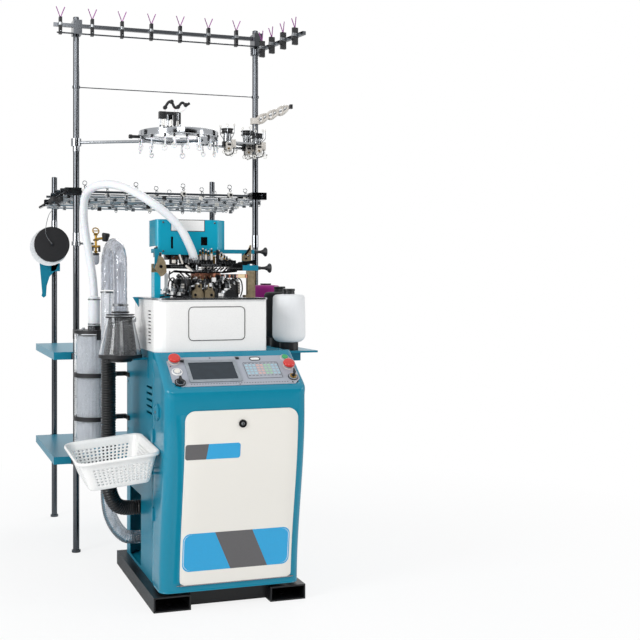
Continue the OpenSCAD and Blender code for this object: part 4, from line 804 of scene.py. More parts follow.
def tank_piece():
    """The clear waste tank: a thin wall turned about its axis, with three moulded bands
    and a hanging filter bag."""
    c = TANK
    wall = [(73, 400.5), (77, 400.5)]
    for z in (486, 640, 806):
        wall += [(77, z - 4), (78.5, z - 2), (78.5, z + 2), (77, z + 4)]
    wall += [(77, 879.5), (73, 879.5), (73, 400.5)]
    piece(
        "waste_tank_wall", [Part(lathe(wall, c, sides=96))], [ACRYLIC],
        nodes=("waste_tank",),
    )
    z = np.linspace(430, 870, 60)
    folds = 67 + 0.8 * np.sin(z / 9) + np.where(z < 450, (z - 450) * 1.4, 0)
    bag = lathe(np.stack([folds, z], -1), c, sides=160)
    angle = np.arctan2(bag[..., 1] - c[1], bag[..., 0] - c[0])
    pleat = 1 + 0.012 * np.sin(32 * angle)
    bag[..., :2] = c[:2] + (bag[..., :2] - c[:2]) * pleat[..., None]
    piece("waste_tank_filter_bag", [Part(capped(bag))], ["Grey nylon gauze, woven"], crease=80)
    sx, sy = c[0] - 3, c[1]
    sleeve = lathe(
        [(20.3, 908.5), (22.5, 909), (22, 1015.5), (20.3, 1016), (20.3, 908.5)], (sx, sy, 0), sides=48,
    )
    bands = [
        lathe([(22.6, z), (24, z + 0.8), (24, z + 5), (22.6, z + 6), (22.6, z)], (sx, sy, 0), sides=48)
        for z in (911, 1004)
    ]
    nuts = [
        button((c[0] + 60 * math.cos(t), c[1] + 60 * math.sin(t), 892), (0, 0, 1), 6, 7, 6)
        for t in (-2.6, -1.2, 0.4, 2.2)
    ]
    wing = [front(plate(8, 16, 2.5, 3), c[0] + dx, c[1] - 66, 899) for dx in (-28, -17)]
    pull = [hoop((c[0] + 30, c[1] - 66, 902), 9, 1.8, (0, 1, 0))]
    piece("tank_spigot_sleeve", parts([sleeve], bands + nuts + wing + pull), [MILKY_PVC, STEEL])


def basket_piece(look):
    """The white basket: rounded-rectangle loops that grow from the floor to the rim, with
    a lattice of holes where both the row and the column number are odd, then a rolled
    lip. Its own frame is tipped like the CAD basket."""
    cols = look.basket_columns * 4

    def loop(w, h, r):
        """Points evenly spaced along one rounded rectangle."""
        o = outline(w, h, r, 12)
        o = np.vstack([o, o[:1]])
        s = np.concatenate([[0], np.cumsum(np.linalg.norm(np.diff(o, axis=0), axis=1))])
        t = np.linspace(0, s[-1], cols, endpoint=False)
        return np.stack([np.interp(t, s, o[:, 0]), np.interp(t, s, o[:, 1])], -1)

    steps = [(i, 0.4) for i in (98, 86, 76, 68, 60, 52, 44, 36, 28, 20, 12, 6, 2)]
    rows = [(198 - 2 * i, 254 - 2 * i, max(20 - i, 1), z) for i, z in steps]
    heights = np.concatenate([[3, 12], np.linspace(16, 78, 13), [90, 96]])
    rows += [(198 + 60 * z / 100, 254 + 60 * z / 100, 20 + 14 * z / 100, z) for z in heights]
    rows += [(260, 316, 35, 99.5), (267, 323, 38, 100), (269, 325, 39, 98.5), (269.5, 325.5, 39, 92)]
    grid = np.stack([np.column_stack([loop(w, h, r), np.full(cols, z)]) for w, h, r, z in rows])
    grid = np.concatenate([np.broadcast_to(grid[:1].mean(1, keepdims=True), grid[:1].shape), grid])
    number = np.arange(cols)
    side = np.abs(loop(258, 314, 34)) / (129, 157)
    flat = np.where((side[:, 0] > side[:, 1]), side[:, 1] < 0.78, side[:, 0] < 0.78)
    wall_rows = np.zeros(len(rows), bool)
    wall_rows[len(steps) + 3 : len(steps) + 15 : 2] = True
    floor_rows = np.zeros(len(rows), bool)
    floor_rows[5 : len(steps) - 1 : 2] = True
    holes = np.outer(wall_rows, flat & (number % 2 == 1)) | np.outer(floor_rows, number % 2 == 1)
    x_turn, y_turn = math.radians(3.6), math.radians(-5.8)
    cx, sx, cy, sy = math.cos(x_turn), math.sin(x_turn), math.cos(y_turn), math.sin(y_turn)
    turn = np.array([[cy, 0, sy], [0, 1, 0], [-sy, 0, cy]]) @ np.array([[1, 0, 0], [0, cx, -sx], [0, sx, cx]])
    world = (grid + (-129, 0, 0)) @ turn.T + (-239, -173, 434)
    piece(
        "sock_basket_lattice", [Part(world, 0, True, ~holes)], [WHITE_ENAMEL],
        nodes=("basket",), crease=50, solid=2.2,
    )


# Height of the side table's top
TABLE_TOP = 825
# Place, height of the base cup, height of the hub above the yarn and colour of each package
CONES = ((300, -52, 20, 20, "White"), (318, 100, 27, 20, "Black"), (312, 245, 52, 6, "Magenta"))


def cone_pieces():
    """Three wound yarn packages with hollow black hubs and base cups, as turned profiles."""
    hubs = []
    for x, y, lift, hub, colour in CONES:
        a = np.linspace(0, QUARTER, 9)
        body = [(22, 10), (34, 10)] + [(34 + 26.3 * math.sin(t), 38 - 28 * math.cos(t)) for t in a[1:]]
        body += [(60.3, 60), (59.6, 120), (58.5, 160)]
        body += [(44.5 + 14 * math.cos(t), 168 + 14 * math.sin(t)) for t in a] + [(22, 184)]
        body = [(r, h + lift) for r, h in body]
        piece(
            "yarn_package_" + colour.lower(), [Part(capped(lathe(body, (x, y, TABLE_TOP), sides=96)))],
            [colour + " polyester yarn, cross wound"],
            nodes=("yarn_cones",) * (colour == "White"), crease=50,
        )
        top = 184 + lift
        hubs.append(
            capped(lathe([(34, 0.2), (34, 9 + lift), (30, 10.5 + lift)], (x, y, TABLE_TOP), sides=64))
        )
        tip = [(21, top - 2), (21, top + hub * 0.3), (20, top + hub * 0.5), (22, top + hub * 0.6)]
        tip += [(22, top + hub - 1), (19, top + hub), (14, top + hub - 1), (12, top - 20)]
        hubs.append(capped(lathe(tip, (x, y, TABLE_TOP), sides=48)))
    piece("yarn_package_hubs", parts(hubs), [BLACK_NYLON])


# Middle of the console's slope, and its two directions
PANEL = ((0, -309.87, 784.8), (1, 0, 0), (0, math.cos(CONSOLE_TILT), math.sin(CONSOLE_TILT)))


def panel_pieces():
    """Console dressing: the display's glass and surround, a lined key field with rows of plain keys,
    a bare oval field, screws and clips. The foil's top is 2.3 mm above the slope, the key block's
    3.1 mm and the display's 4.3 mm."""
    keys, marks = [], []
    for i in range(9):
        for k in range(4):
            material = 0 if i < 3 else 1 if i < 5 else 2 if i < 7 else 0
            key = plate(9.5, 9, 0.7, 1.6, 0.2, 3) + (56 + 13.2 * i, 12 - 13.6 * k, 3.05)
            keys.append(Part(put(key, *PANEL), material))
    for i in range(36):
        marks.append(plate(4.2, 2.2, 0.4, 0.4, 0.1, 2) + (-150 + 9.4 * i, -74, 2.2))
    for i in range(9):
        marks.append(plate(8, 1.6, 0.4, 0.4, 0.1, 2) + (56 + 13.2 * i, 21.5, 3.05))
        marks.append(plate(8, 1.8, 0.4, 0.4, 0.1, 2) + (56 + 13.2 * i, -40, 3.05))
    lines = [band(122, 82, 5, 1.2, 0.5) + (108, -13, 3.0), band(40, 20, 10, 4, 0.6) + (96, 47, 2.2)]
    black = [put(p, *PANEL) for p in marks + lines]
    white = [put(plate(32, 12, 0.5, 6, 0.1) + (96, 47, 2.2), *PANEL)]
    piece(
        "console_keys", keys + parts([], [], [], black, white),
        [
            "Pale blue key film, printed", "Pale pink key film, printed", "Pale green key film, printed",
            INK, WHITE_ENAMEL,
        ],
    )
    bezel = [put(band(178, 110, 6, 12, 3.4) + (-64.5, -12.3, 2.2), *PANEL)]
    glass = [put(plate(154, 86, 0.4, 2, 0.2) + (-64.5, -12.3, 4.25), *PANEL)]
    piece("display_surround", parts(bezel, glass), [GALVANISED, GLASS])
    places = [
        (-166, 55), (-60, 56), (30, 56), (206, 57), (-172, -78), (12, -79), (196, -78), (-203, 16),
        (220, -24),
    ]
    heads = [put(plate(6.5, 6.5, 1.8, 3.25, 0.5) + (x, y, 2.1), *PANEL) for x, y in places]
    clips = [put(plate(12, 9, 5, 2, 1) + (x, y, 2.2), *PANEL) for x, y in ((-158, 42), (34, 50))]
    piece("console_screws", parts(heads, clips), [STEEL, BLACK_NYLON])


# The shell's side latch, the two columns of switches, the key and the lock
CLIP_Y, CLIP_Z, CLIP_W, CLIP_H = -280, 647, 50, 48
COLUMNS = (-186, 204)
KEY = (COLUMNS[1], -52)
LOCK = (13.5, 615)
SWITCH_HOLE = 14.7
# Place, inner and outer radius, height and finish of each ring
SWITCH_RINGS = (
    (COLUMNS[0], 43, SWITCH_HOLE, 19, 3.0, 0), (COLUMNS[1], 4, SWITCH_HOLE, 19, 3.0, 0),
    (COLUMNS[1], 49, SWITCH_HOLE, 16.5, 4.0, 0),
    (COLUMNS[0], -12, SWITCH_HOLE, 18, 6.0, 1), (COLUMNS[0], -64, SWITCH_HOLE, 18.5, 6.0, 2),
    (*KEY, SWITCH_HOLE, 17, 5.0, 2),
)


def switch_pieces():
    """Bezel rings around the six switches, turned about their own axes; the key's brass
    collar turns with the key."""
    rings = []
    for x, y, inner, outer, h, kind in SWITCH_RINGS:
        flat = lathe(
            [(inner, 0), (outer, 0), (outer, h - 1), (outer - 1, h), (inner, h), (inner, 0)], (x, y, 0),
            sides=48,
        )
        rings.append(Part(put(flat, *PANEL), kind))
    piece("switch_bezels", rings, [PALE_NYLON, WHITE_ENAMEL, BLACK_NYLON])
    brass_ring = lathe([(8.1, 6.5), (11, 6.5), (11, 9.5), (8.1, 10), (8.1, 6.5)], (*KEY, 0), sides=40)
    piece("key_collar", parts([put(brass_ring, *PANEL)]), [BRASS], "key_switch")
    front_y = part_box("door_lock")[0][1] * 1000
    core = front(plate(11, 11, 1.4, 5.5, 0.4), LOCK[0], front_y, LOCK[1])
    notch = front(plate(2.2, 8, 0.8, 1, 0.2), LOCK[0], front_y - 1.3, LOCK[1])
    piece("lock_core", parts([core], [notch]), [STEEL, BLACK_NYLON], "door_lock")


def cover_details():
    """Outlined bare field on the skirt, its edge seams, the side clips of the shell and small screws."""
    line = front(band(200, 115, 16, 2.2, 0.5), -23, -226.0, 932.5)
    seam = [front(plate(370, 1.2, 0.4, 0.5, 0.1), -38, -225.0, 1008.5)]
    piece("skirt_field_line", parts([line], seam), [INK, GALVANISED])
    screws = [
        left_side(plate(9, 9, 2.5, 4.5, 0.8), -230.1, y, z) for z in (700, 520, 240, 110)
        for y in (-183, 262)
    ]
    clips = [left_side(plate(26, 46, 6, 4, 1.5), -240.2, -212, z) for z in (560, 300)]
    piece("shell_side_clips", parts(clips), [TEAL_COAT])
    piece("cabinet_screws", parts(screws), [STEEL])
    ring = np.arange(6) * math.tau / 6 + math.pi / 6
    hexagon = np.column_stack([CLIP_W / 2 * np.cos(ring), CLIP_H / 2 * np.sin(ring)]) / math.cos(math.pi / 6)
    steps = [(hexagon, 0.0), (hexagon, 5.0), (hexagon * 0.86, 7.0), (hexagon * 0.4, 7.4)]
    clip = capped(np.stack([np.column_stack([o, np.full(6, h)]) for o, h in steps]))
    latch = left_side(clip, -240.2, CLIP_Y, CLIP_Z)
    stud = button((-247.4, CLIP_Y, CLIP_Z), (-1, 0, 0), 5, 3, 6)
    piece("shell_side_latch", parts([latch], [stud]), [TEAL_COAT, STEEL])


# Where the selectors stand around the cylinder, in degrees
SELECTOR_ANGLES = (164, 190, 214, 328, 350, 20, 60, 104, 136)


def cam_pieces():
    """The cam ring as turned steps with a comb of jacks around it, on its flange, with
    the tan cam blocks in front."""
    flange = lathe([(55.5, 1019), (78, 1019), (78, 1029), (76, 1031), (55.5, 1031), (55.5, 1019)], sides=96)
    steps = [(48.5, 1031), (66, 1031)]
    for z in (1036, 1044, 1052, 1060, 1068):
        steps += [(66, z), (63.5, z + 0.8), (63.5, z + 3.4), (66, z + 4.2)]
    steps += [(66, 1078), (64, 1080), (48.5, 1080), (48.5, 1031)]
    comb = [
        turned(plate(9, 1.3, 30 + 9 * (k % 3), 0.3, 0.2, 2) + (68, 0, 1033), 7.5 * k) for k in range(48)
    ]
    rivets = [turned(button((66, 0, 1074), (1, 0, 0), 2.2, 1.8, 12), 22.5 * k + 8) for k in range(16)]
    left = [
        (-76, 1019), (-36, 1019), (-36, 1036), (-42, 1044), (-43, 1066), (-60, 1069), (-64, 1048),
        (-76, 1040),
    ]
    right = [(-31, 1019), (3, 1019), (3, 1038), (-3, 1046), (-5, 1064), (-20, 1066), (-22, 1048), (-31, 1042)]
    blocks = [prism(corners, -104, -86) for corners in (left, right)]
    seats = [
        button((x, -104, z), (0, -1, 0), 5, 1.6, 24)
        for x, z in ((-52, 1058), (-12, 1056), (-66, 1028), (-8, 1027))
    ]
    fore = [
        prism([(40, 1019), (84, 1019), (84, 1036), (70, 1048), (52, 1046), (40, 1034)], -104, -84),
        slab(-86, -98, 1019, -80, -84, 1060), slab(8, -100, 1019, 16, -84, 1052),
        slab(22, -98, 1019, 34, -84, 1046),
    ]
    piece(
        "cam_ring", parts([flange] + rivets, [lathe(steps, sides=96)] + comb + fore, blocks, seats),
        [STEEL, SPRING_STEEL, ZINC, OXIDE],
        nodes=("cam_box",),
    )


def selector_pieces():
    """Needle selectors: a black body with eight thin jacks, three bolts and pale
    terminals, and a cable on each third."""
    dark, steel, white, cords = [], [], [], []
    for n, a in enumerate(SELECTOR_ANGLES):
        body = [
            slab(86, -13, 1019, 118, 13, 1027), slab(92, -13, 1027, 118, 13, 1083, 1.2, 2.5),
            slab(118, -9, 1029, 123, 9, 1073),
        ]
        fins = [
            slab(74 + 2 * (i % 2), -10, 1030.5 + 6.4 * i, 93, 10, 1032.7 + 6.4 * i, 0.3, 0.6)
            for i in range(8)
        ]
        top = [button((98 + 7 * i, 6 * (-1) ** i, 1083), (0, 0, 1), 2.6, 3, 6) for i in range(3)]
        strip = [slab(122.5, -6.5, 1034 + 9 * i, 125, 6.5, 1040 + 9 * i, 0.4, 0.6) for i in range(4)]
        dark += [turned(p, a) for p in body]
        steel += [turned(p, a) for p in fins + top]
        white += [turned(p, a) for p in strip]
        lift = 8 + 5 * (n % 3)
        loop = [(110, 0, 1080), (118, 2, 1080 + lift), (131, 5, 1076), (134, 9, 1046), (126, 14, 1021)]
        if n % 3 == 0:
            cords.append(turned(cable(loop, 2.4), a))
    piece(
        "needle_selectors", parts(dark, steel, white, cords),
        [BLACK_NYLON, STEEL, PALE_NYLON, BLACK_TPE],
        nodes=("selector_units",),
    )


def head_details():
    """Levers, blocks, stacks, springs, bolts, guide wires and cables among the selectors,
    and the clamps on the cap's arm. The small ones stand around the cylinder at the
    golden angle, so that no two look alike."""
    steel, dark, brass, pale, sheet_bits = [], [], [], [], []
    for k in range(34):
        a = (137.5 * k) % 360
        if 225 < a < 318 and k % 3:
            a = (a + 110) % 360
        r, z = mixed(k, 74, 112), mixed(2 * k + 1, 1040, 1090)
        p = np.array([r, mixed(3 * k, -12, 12), z])
        q = p + (mixed(k + 5, -14, 10), mixed(k + 3, 10, 26), mixed(k + 2, -10, 16))
        arm = turned(lever(p, q, 7, 2.2, (1, 0, 0.4)), a)
        (dark if k % 3 == 0 else steel).append(arm)
        for end in (p, q):
            steel.append(turned(button(end + (1.5, 0, 0), (1, 0, 0.4), 2.8, 3.2, 12), a))
    for k in range(30):
        r, z = mixed(k, 86, 122), mixed(2 * k + 3, 1026, 1092)
        p, a = np.array([r, mixed(5 * k, -9, 9), z]), 168 + mixed(k, 0, 84) + 66 * (k % 2)
        q = p + (mixed(k + 1, -10, 8), mixed(k + 7, -12, 14), mixed(k + 4, -9, 12))
        kind = (steel, sheet_bits, dark)[k % 3]
        kind.append(turned(slab(*np.minimum(p, q) - 2.2, *np.maximum(p, q) + 2.2, 0.5, 1), a))
        if k % 2:
            sheet_bits.append(turned(bar(q, q + (2, mixed(k, -9, 9), mixed(k + 9, -16, 2)), 2.0), a))
        steel.append(turned(button(q + (3, 0, 0), (1, 0, 0.2), 3, 3, 6), a))
    for k in range(12):
        a = 30 * k + 11
        steel.append(turned(coil((70 + 3 * (k % 2), 0, 1062), (74, 4, 1086), 3, 7, 0.6), a))
        dark.append(turned(bar((84, 3, 1070), (58, -4, 1092), 2.2), a + 14))
        brass.append(turned(button((80, -6, 1080), (0.3, 0, 1), 3.4, 4, 6), a))
    for k in range(9):
        foot = np.array([-188 + 9.5 * k, -94 - mixed(k, 0, 30), 1021])
        tall = mixed(k + 4, 16, 52)
        stack = front(plate(mixed(k, 5, 9), 12, tall, 1.2, 0.5), *(foot + (0, 0, tall / 2)))
        (sheet_bits, steel, dark)[k % 3].append(stack)
        steel.append(button(foot + (0, -7, tall * 0.7), (0.2, -1, 0.2), 3.2, 4, 6))
        a = 200 + 17 * k
        line = [(92, 0, 1021), (97, 2, 1050), (86, 4, 1078), (66, 2, 1092)]
        steel.append(turned(cable(line, 1.2, 8, 16), a))
        pale.append(turned(hoop((66, 2, 1092), 3.2, 1.1, (0.4, 1, 0)), a))
    along, across = unit(np.array([88.0, -68.0, 0])), np.array([0.0, 0.0, 1.0])
    for t, size, kind in (
        (20, 15, 1), (32, 9, 0), (39, 17, 1), (50, 7, 0), (57, 14, 1), (68, 15, 1), (79, 10, 0), (88, 17, 2),
        (101, 17, 2),
    ):
        spot = np.array([35.0, -33.0, 1094.0]) + along * t
        part = put(
            plate(8 if kind != 2 else 14, 14, size, 1.5, 0.6), spot - np.cross(along, across) * size / 2,
            along, across,
        )
        (steel, dark, pale)[kind].append(part)
    for line in (
        [(72, -72, 1092), (92, -66, 1086), (104, -60, 1068), (106, -58, 1051)],
        [(80, -66, 1085), (100, -60, 1066), (108, -58, 1044), (100, -60, 1021)],
        [(-196, -120, 1021), (-160, -112, 1027), (-128, -122, 1023), (-96, -112, 1021)],
        [(-150, -60, 1100), (-128, -84, 1112), (-104, -96, 1090), (-96, -104, 1060)],
        [(-140, -30, 1110), (-150, -70, 1084), (-128, -104, 1056), (-134, -96, 1022)],
    ):
        dark.append(cable(line, 2.6))
    sheet = [
        (-172, 1042), (-152, 1036), (-148, 1046), (-156, 1060), (-152, 1098), (-160, 1106), (-166, 1098),
        (-166, 1056),
    ]
    pale_sheet = prism(sheet, -62, -59, 0.4)
    piece(
        "head_small_parts", parts(steel, dark, brass, pale, [pale_sheet] + sheet_bits),
        [STEEL, OXIDE, BRASS, ZINC, WHITE_ENAMEL],
    )
    gusset = prism([(-236, 1019), (-258, 1019), (-236, 984)][::-1], 40, 46)
    pin = (-190, -110, 1126.6)
    hinge = [button(pin, (0, -1, 0), 4.5, 4, 6), button(pin, (0, -1, 0), 6, 1.2, 24)]
    piece("bed_gusset", parts([gusset]), [TEAL_COAT])
    piece("pivot_bolt", parts(hinge), [OXIDE])


def dial_arm_piece():
    """The arm that carries the dial: dark bar, bridge casting, nozzle collar and hub,
    with the teal handle end."""
    dark = [
        bar((-196.6, -98, 1126.6), (-196.6, -86, 1126.6), 12, 32), slab(-196, -98, 1119.6, -62, -86, 1133.6),
        slab(-110, -98, 1119.6, -66, -42, 1138), slab(-78, -64, 1127, 78, 42, 1138, 1.2, 6),
        slab(66, -109, 1113, 106, -50, 1138, 1.2, 3), slab(-66, -76, 1119, -46, -46, 1138),
        slab(106, -104, 1132, 126, -100, 1146, 0.5),
        lever((84, -106, 1134), (150, -106, 1146), 11, 6, (0, 1, 0)),
        lever((96, -98, 1140), (156, -96, 1141), 8, 5, (0, 1, 0)),
    ]
    steel = [
        bar((0, 0, 1127), (0, 0, 1166.8), 24, 48), bar((0, 0, 1150), (0, 0, 1156), 27, 48),
        bar((-60, -66, 1113), (-60, -66, 1136), 14, 32),
        lever((-150, -99, 1127), (-84, -99, 1124), 7, 2, (0, 1, 0)),
        lever((64, -111, 1121), (98, -111, 1121), 5, 2, (0, 1, 0)),
        slab(-34, -66.5, 1129, 40, -63.5, 1135, 0.4),
    ]
    piece(
        "dial_arm_casting",
        parts(
            dark, steel, [slab(106, -110, 1113, 164, -90, 1132, 0.8, 2)],
            [bar((-60, -66, 1133), (-60, -66, 1150), 16.5, 40)],
        ),
        [OXIDE, STEEL, TEAL_COAT, BLACK_NYLON],
        "dial_head", ("dial_arm",),
    )


def finger_pieces():
    """Yarn fingers in two banks over the dial: a black valve block, a bright cylinder, a
    nut, a cap and a tube each, with springs, levers and brass blocks between them."""
    dark, steel, brass, pale, tubes = [], [], [], [], []
    left = [(-36 + 10.5 * i, -57 + 3 * (i % 2), 50 + 4 * ((i * 2) % 3)) for i in range(5)]
    right = [(33 + 10 * i, -58 + 3 * (i % 2), 52 - 7 * i) for i in range(6)]
    for k, (x, y, h) in enumerate(left + right):
        z = 1138
        dark.append(slab(x - 4.6, y - 8, z, x + 4.6, y + 7, z + 12 + 3 * (k % 2)))
        (steel if k % 2 else pale).append(bar((x, y, z + 12), (x, y, z + h - 22), 4.3, 20))
        brass.append(button((x, y, z + h - 22), (0, 0, 1), 4.6, 4, 6))
        dark.append(bar((x, y, z + h - 18), (x, y, z + h - 8), 3.6, 16))
        (pale if k % 2 else steel).append(button((x, y, z + h - 8), (0, 0, 1), 3.2, 5, 16))
        steel.append(lever((x, y - 9, z + 5), (x + 5, y - 9, z - 14), 4.5, 1.6, (0, 1, 0)))
        pale.append(hoop((x + 5, y - 9.5, z - 15), 2.6, 0.9, (0, 1, 0)))
        top = z + h - 5
        line = [
            (x, y + 2, top - 6), (x * 0.97, y + 9, top - 1), (x * 0.9, y + 26, top - 8),
            (x * 0.75, y + 50, 1160),
        ]
        tubes.append(cable(line, 1.8, 8, 20))
    dark += [
        slab(24, -64, 1138, 32, -46, 1186), slab(-46, -66, 1138, -40, -44, 1168),
        slab(84, -62, 1136, 96, -46, 1150),
    ]
    for k in range(10):
        x = -30 + 13 * k
        dark.append(lever((x, -70, 1112 + 3 * (k % 2)), (x + 11, -72, 1123), 5, 2, (0, 1, 0)))
        steel.append(button((x + 4, -72, 1117), (0, -1, 0), 2.6, 3, 12))
    for k in range(6):
        steel.append(coil((-100 + 9 * k, -102, 1140), (-96 + 9 * k, -98, 1158), 3, 6, 0.7))
    brass += [
        slab(8, -58, 1138, 20, -44, 1164), slab(12, -36, 1138, 24, -16, 1160),
        slab(-36, 14, 1138, -24, 34, 1164),
    ]
    dark += [
        slab(-156, -101, 1134, -128, -84, 1152), slab(-122, -99, 1138, -112, -84, 1166),
        bar((-104, -92, 1146), (-74, -92, 1146), 7, 24), slab(-104, -80, 1138, -86, -60, 1158),
        lever((-140, -102, 1110), (-70, -100, 1106), 8, 3, (0, 1, 0)),
        slab(-70, -100, 1104, 40, -95, 1110, 0.8),
        lever((36, -98, 1107), (84, -100, 1112), 8, 3, (0, 1, 0)),
    ]
    pale += [
        lever((-122, -103, 1166), (-112, -103, 1138), 6, 2, (0, 1, 0)),
        slab(-150, -104, 1138, -136, -101, 1150, 0.6),
        lever((-98, -101, 1129), (-80, -101, 1114), 7, 2, (0, 1, 0)),
    ]
    steel += [
        button((x, -104, z), (0, -1, 0), 3.6, 3.5, 6)
        for x, z in (
            (-132, 1145), (-90, 1133), (-112, 1126), (-76, 1128), (74, 1126), (98, 1131), (-20, 1107),
            (24, 1107),
        )
    ]
    piece(
        "yarn_fingers", parts(dark, steel, brass, pale, tubes),
        [OXIDE, STEEL, BRASS, PALE_NYLON, MILKY_PVC],
        "dial_head", ("finger_units",),
    )


def hood_piece():
    """The folded teal hood: a plan path of straight runs and round bends, raised from its bottom edge
    to the top, with a slot and a window left out, a lid, and a plain white field in a dark line."""
    a, b = np.linspace(math.pi, 1.5 * math.pi, 10), np.linspace(-math.pi / 2, -math.pi / 4, 7)
    xs = np.union1d(np.linspace(-176, 27, 34), (-138.1, -129.8, -28.6, -4.6))
    path = np.concatenate(
        [
            np.column_stack([np.full(8, -190.0), np.linspace(80, -27, 9)[:-1]]),
            np.column_stack([-177 + 13 * np.cos(a), -27 + 13 * np.sin(a)]),
            np.column_stack([xs, np.full(len(xs), -40.0)]),
            np.column_stack([30.2 + 14 * np.cos(b), -26 + 14 * np.sin(b)]),
            np.column_stack([56 + 14 * np.cos(b + math.pi / 4), -0.2 + 14 * np.sin(b + math.pi / 4)]),
            np.column_stack([np.full(5, 70.0), np.linspace(8, 60, 5)]),
        ]
    )
    z = np.union1d(np.linspace(1169, 1292.5, 26), (1189, 1191.1, 1200, 1202.9, 1232.9, 1233.3))
    grid = np.stack([np.column_stack([path, np.full(len(path), h)]) for h in z])
    keep = np.ones((len(z) - 1, len(path) - 1), bool)
    mid_z, mid_x = (z[1:] + z[:-1]) / 2, (path[1:, 0] + path[:-1, 0]) / 2
    col = np.arange(len(path) - 1)
    on_front = (col >= 18) & (col < 18 + len(xs) - 1)
    keep[np.ix_(mid_z < 1200, col < 13)] = False
    keep[np.ix_(mid_z < 1189, col >= 18 + len(xs) - 1)] = False
    keep[np.ix_((mid_z > 1191.1) & (mid_z < 1233.3), on_front & (mid_x > -138.1) & (mid_x < -129.8))] = False
    keep[np.ix_((mid_z > 1202.9) & (mid_z < 1232.9), on_front & (mid_x > -28.6) & (mid_x < -4.6))] = False
    piece(
        "hood_shell", [Part(grid, 0, False, keep)], [HOOD_ENAMEL], "upper_head", ("top_cover",),
        solid=2, bevel=0.4,
    )
    round_lid = np.vstack([path, [[70, 80]]])
    lid = [np.column_stack([round_lid, np.full(len(round_lid), h)]) for h in (1291.8, 1293.4)]
    lid.append(np.column_stack([round_lid * 0.994 + (-0.36, 0.1), np.full(len(round_lid), 1294.0)]))
    piece("hood_lid", parts([capped(np.stack(lid))]), [HOOD_ENAMEL], "upper_head")
    field = [front(plate(121, 38, 0.5, 1, 0.1), -76.5, -40.0, 1272.8)]
    edge = [front(band(125, 42, 2, 2.4, 0.6), -76.5, -40.0, 1272.8)]
    piece("hood_plain_field", parts(field, edge), [WHITE_ENAMEL, INK], "upper_head")


def upper_head_details():
    """What shows under, beside and through the hood: a dark finned block and a second dark block, bolts, a
    latch plate and its pin. The two dark blocks fill the hood behind its window and slot: they stand for the
    selector box there and are painted shade as well, which keeps both openings dark."""
    # The first two dark blocks fill the hood behind its slot and window: the selector box, and painted shade
    # that keeps the openings dark
    dark = [
        slab(-170, -32, 1176, -100, 66, 1284, 1.2, 4), slab(-60, -32, 1184, 34, 66, 1284, 1.2, 4),
        slab(-150, -36, 1152, -70, 24, 1177),
    ]
    dark += [slab(-34, -34.5, 1196 + 6 * i, 2, -31, 1199 + 6 * i, 0.3, 0.8) for i in range(7)]
    dark += [bar((-152 + 22 * i, -37, 1160), (-152 + 22 * i, -37, 1168), 6, 16) for i in range(4)]
    dark += [slab(-189, -36, 1176, -172, -14, 1196), bar((-196, -30, 1188), (-180, -30, 1188), 7, 20)]
    brown = [slab(-136, -40, 1153, -108, -35, 1165, 0.6), slab(126, -40.5, 1150, 156, -37, 1164, 0.6)]
    steel = [
        slab(-200, -78, 1160, -180, -30, 1176), slab(-100, -40, 1152, -94, -35, 1166, 0.5),
        bar((148, -40, 1168), (148, -46, 1168), 4, 16), bar((-128, -40, 1160), (-128, -44, 1160), 4.5, 6),
    ]
    latch = [prism([(124, 1148), (160, 1148), (160, 1206), (154, 1206), (146, 1184), (124, 1166)], -41, -38)]
    dark += [
        lever((138, -42, 1172), (152, -42, 1192), 7, 3, (0, 1, 0)),
        button((140, -41, 1157), (0, -1, 0), 4, 3, 16),
    ]
    heads = [
        button((x, -40.2, z), (0, -1, 0), 3.4, 2.4, 16)
        for x, z in ((-166, 1283), (-166, 1182), (22, 1283), (22, 1180))
    ]
    piece(
        "hood_mechanism", parts(dark, brown, steel + heads, latch),
        [OXIDE, COPPER, STEEL, ZINC],
        "upper_head",
    )


# The poles' two columns and two rows and the bore of what they carry
POLES = (-384.5, 364.5)
FRONT_ROW, BACK_ROW = 535, 1195
POLE_BORE = 12.6
# The feeder ring's middle and the feeder wheels
RING = (-45, 221, 1618)
WHEELS = ((205, 412, 1672), (322, 515, 1682), (345, 450, 1662))


def pole_pieces():
    """The four creel poles with their foot rings, closed tops and slip sleeves, as
    profiles turned about each pole."""
    tubes, sleeves = [], []
    for x in POLES:
        for y, tall, joints in ((FRONT_ROW, 2124, (1216, 1590)), (BACK_ROW, 1550, (1300,))):
            tube = [(11.5, 0), (17.5, 0), (17.5, 9), (16.5, 10), (12.5, 10), (12.5, tall - 1.5), (11, tall)]
            tubes.append(capped(lathe(tube, (x, y, 0), sides=48)))
            for z in joints:
                sleeve = [(POLE_BORE, z), (14, z + 0.5), (14, z + 51.5), (POLE_BORE, z + 52), (POLE_BORE, z)]
                sleeves.append(lathe(sleeve, (x, y, 0), sides=48))
    piece("creel_poles_drawn", parts(tubes, sleeves), [TUBE, CHROME], nodes=("creel_poles",))


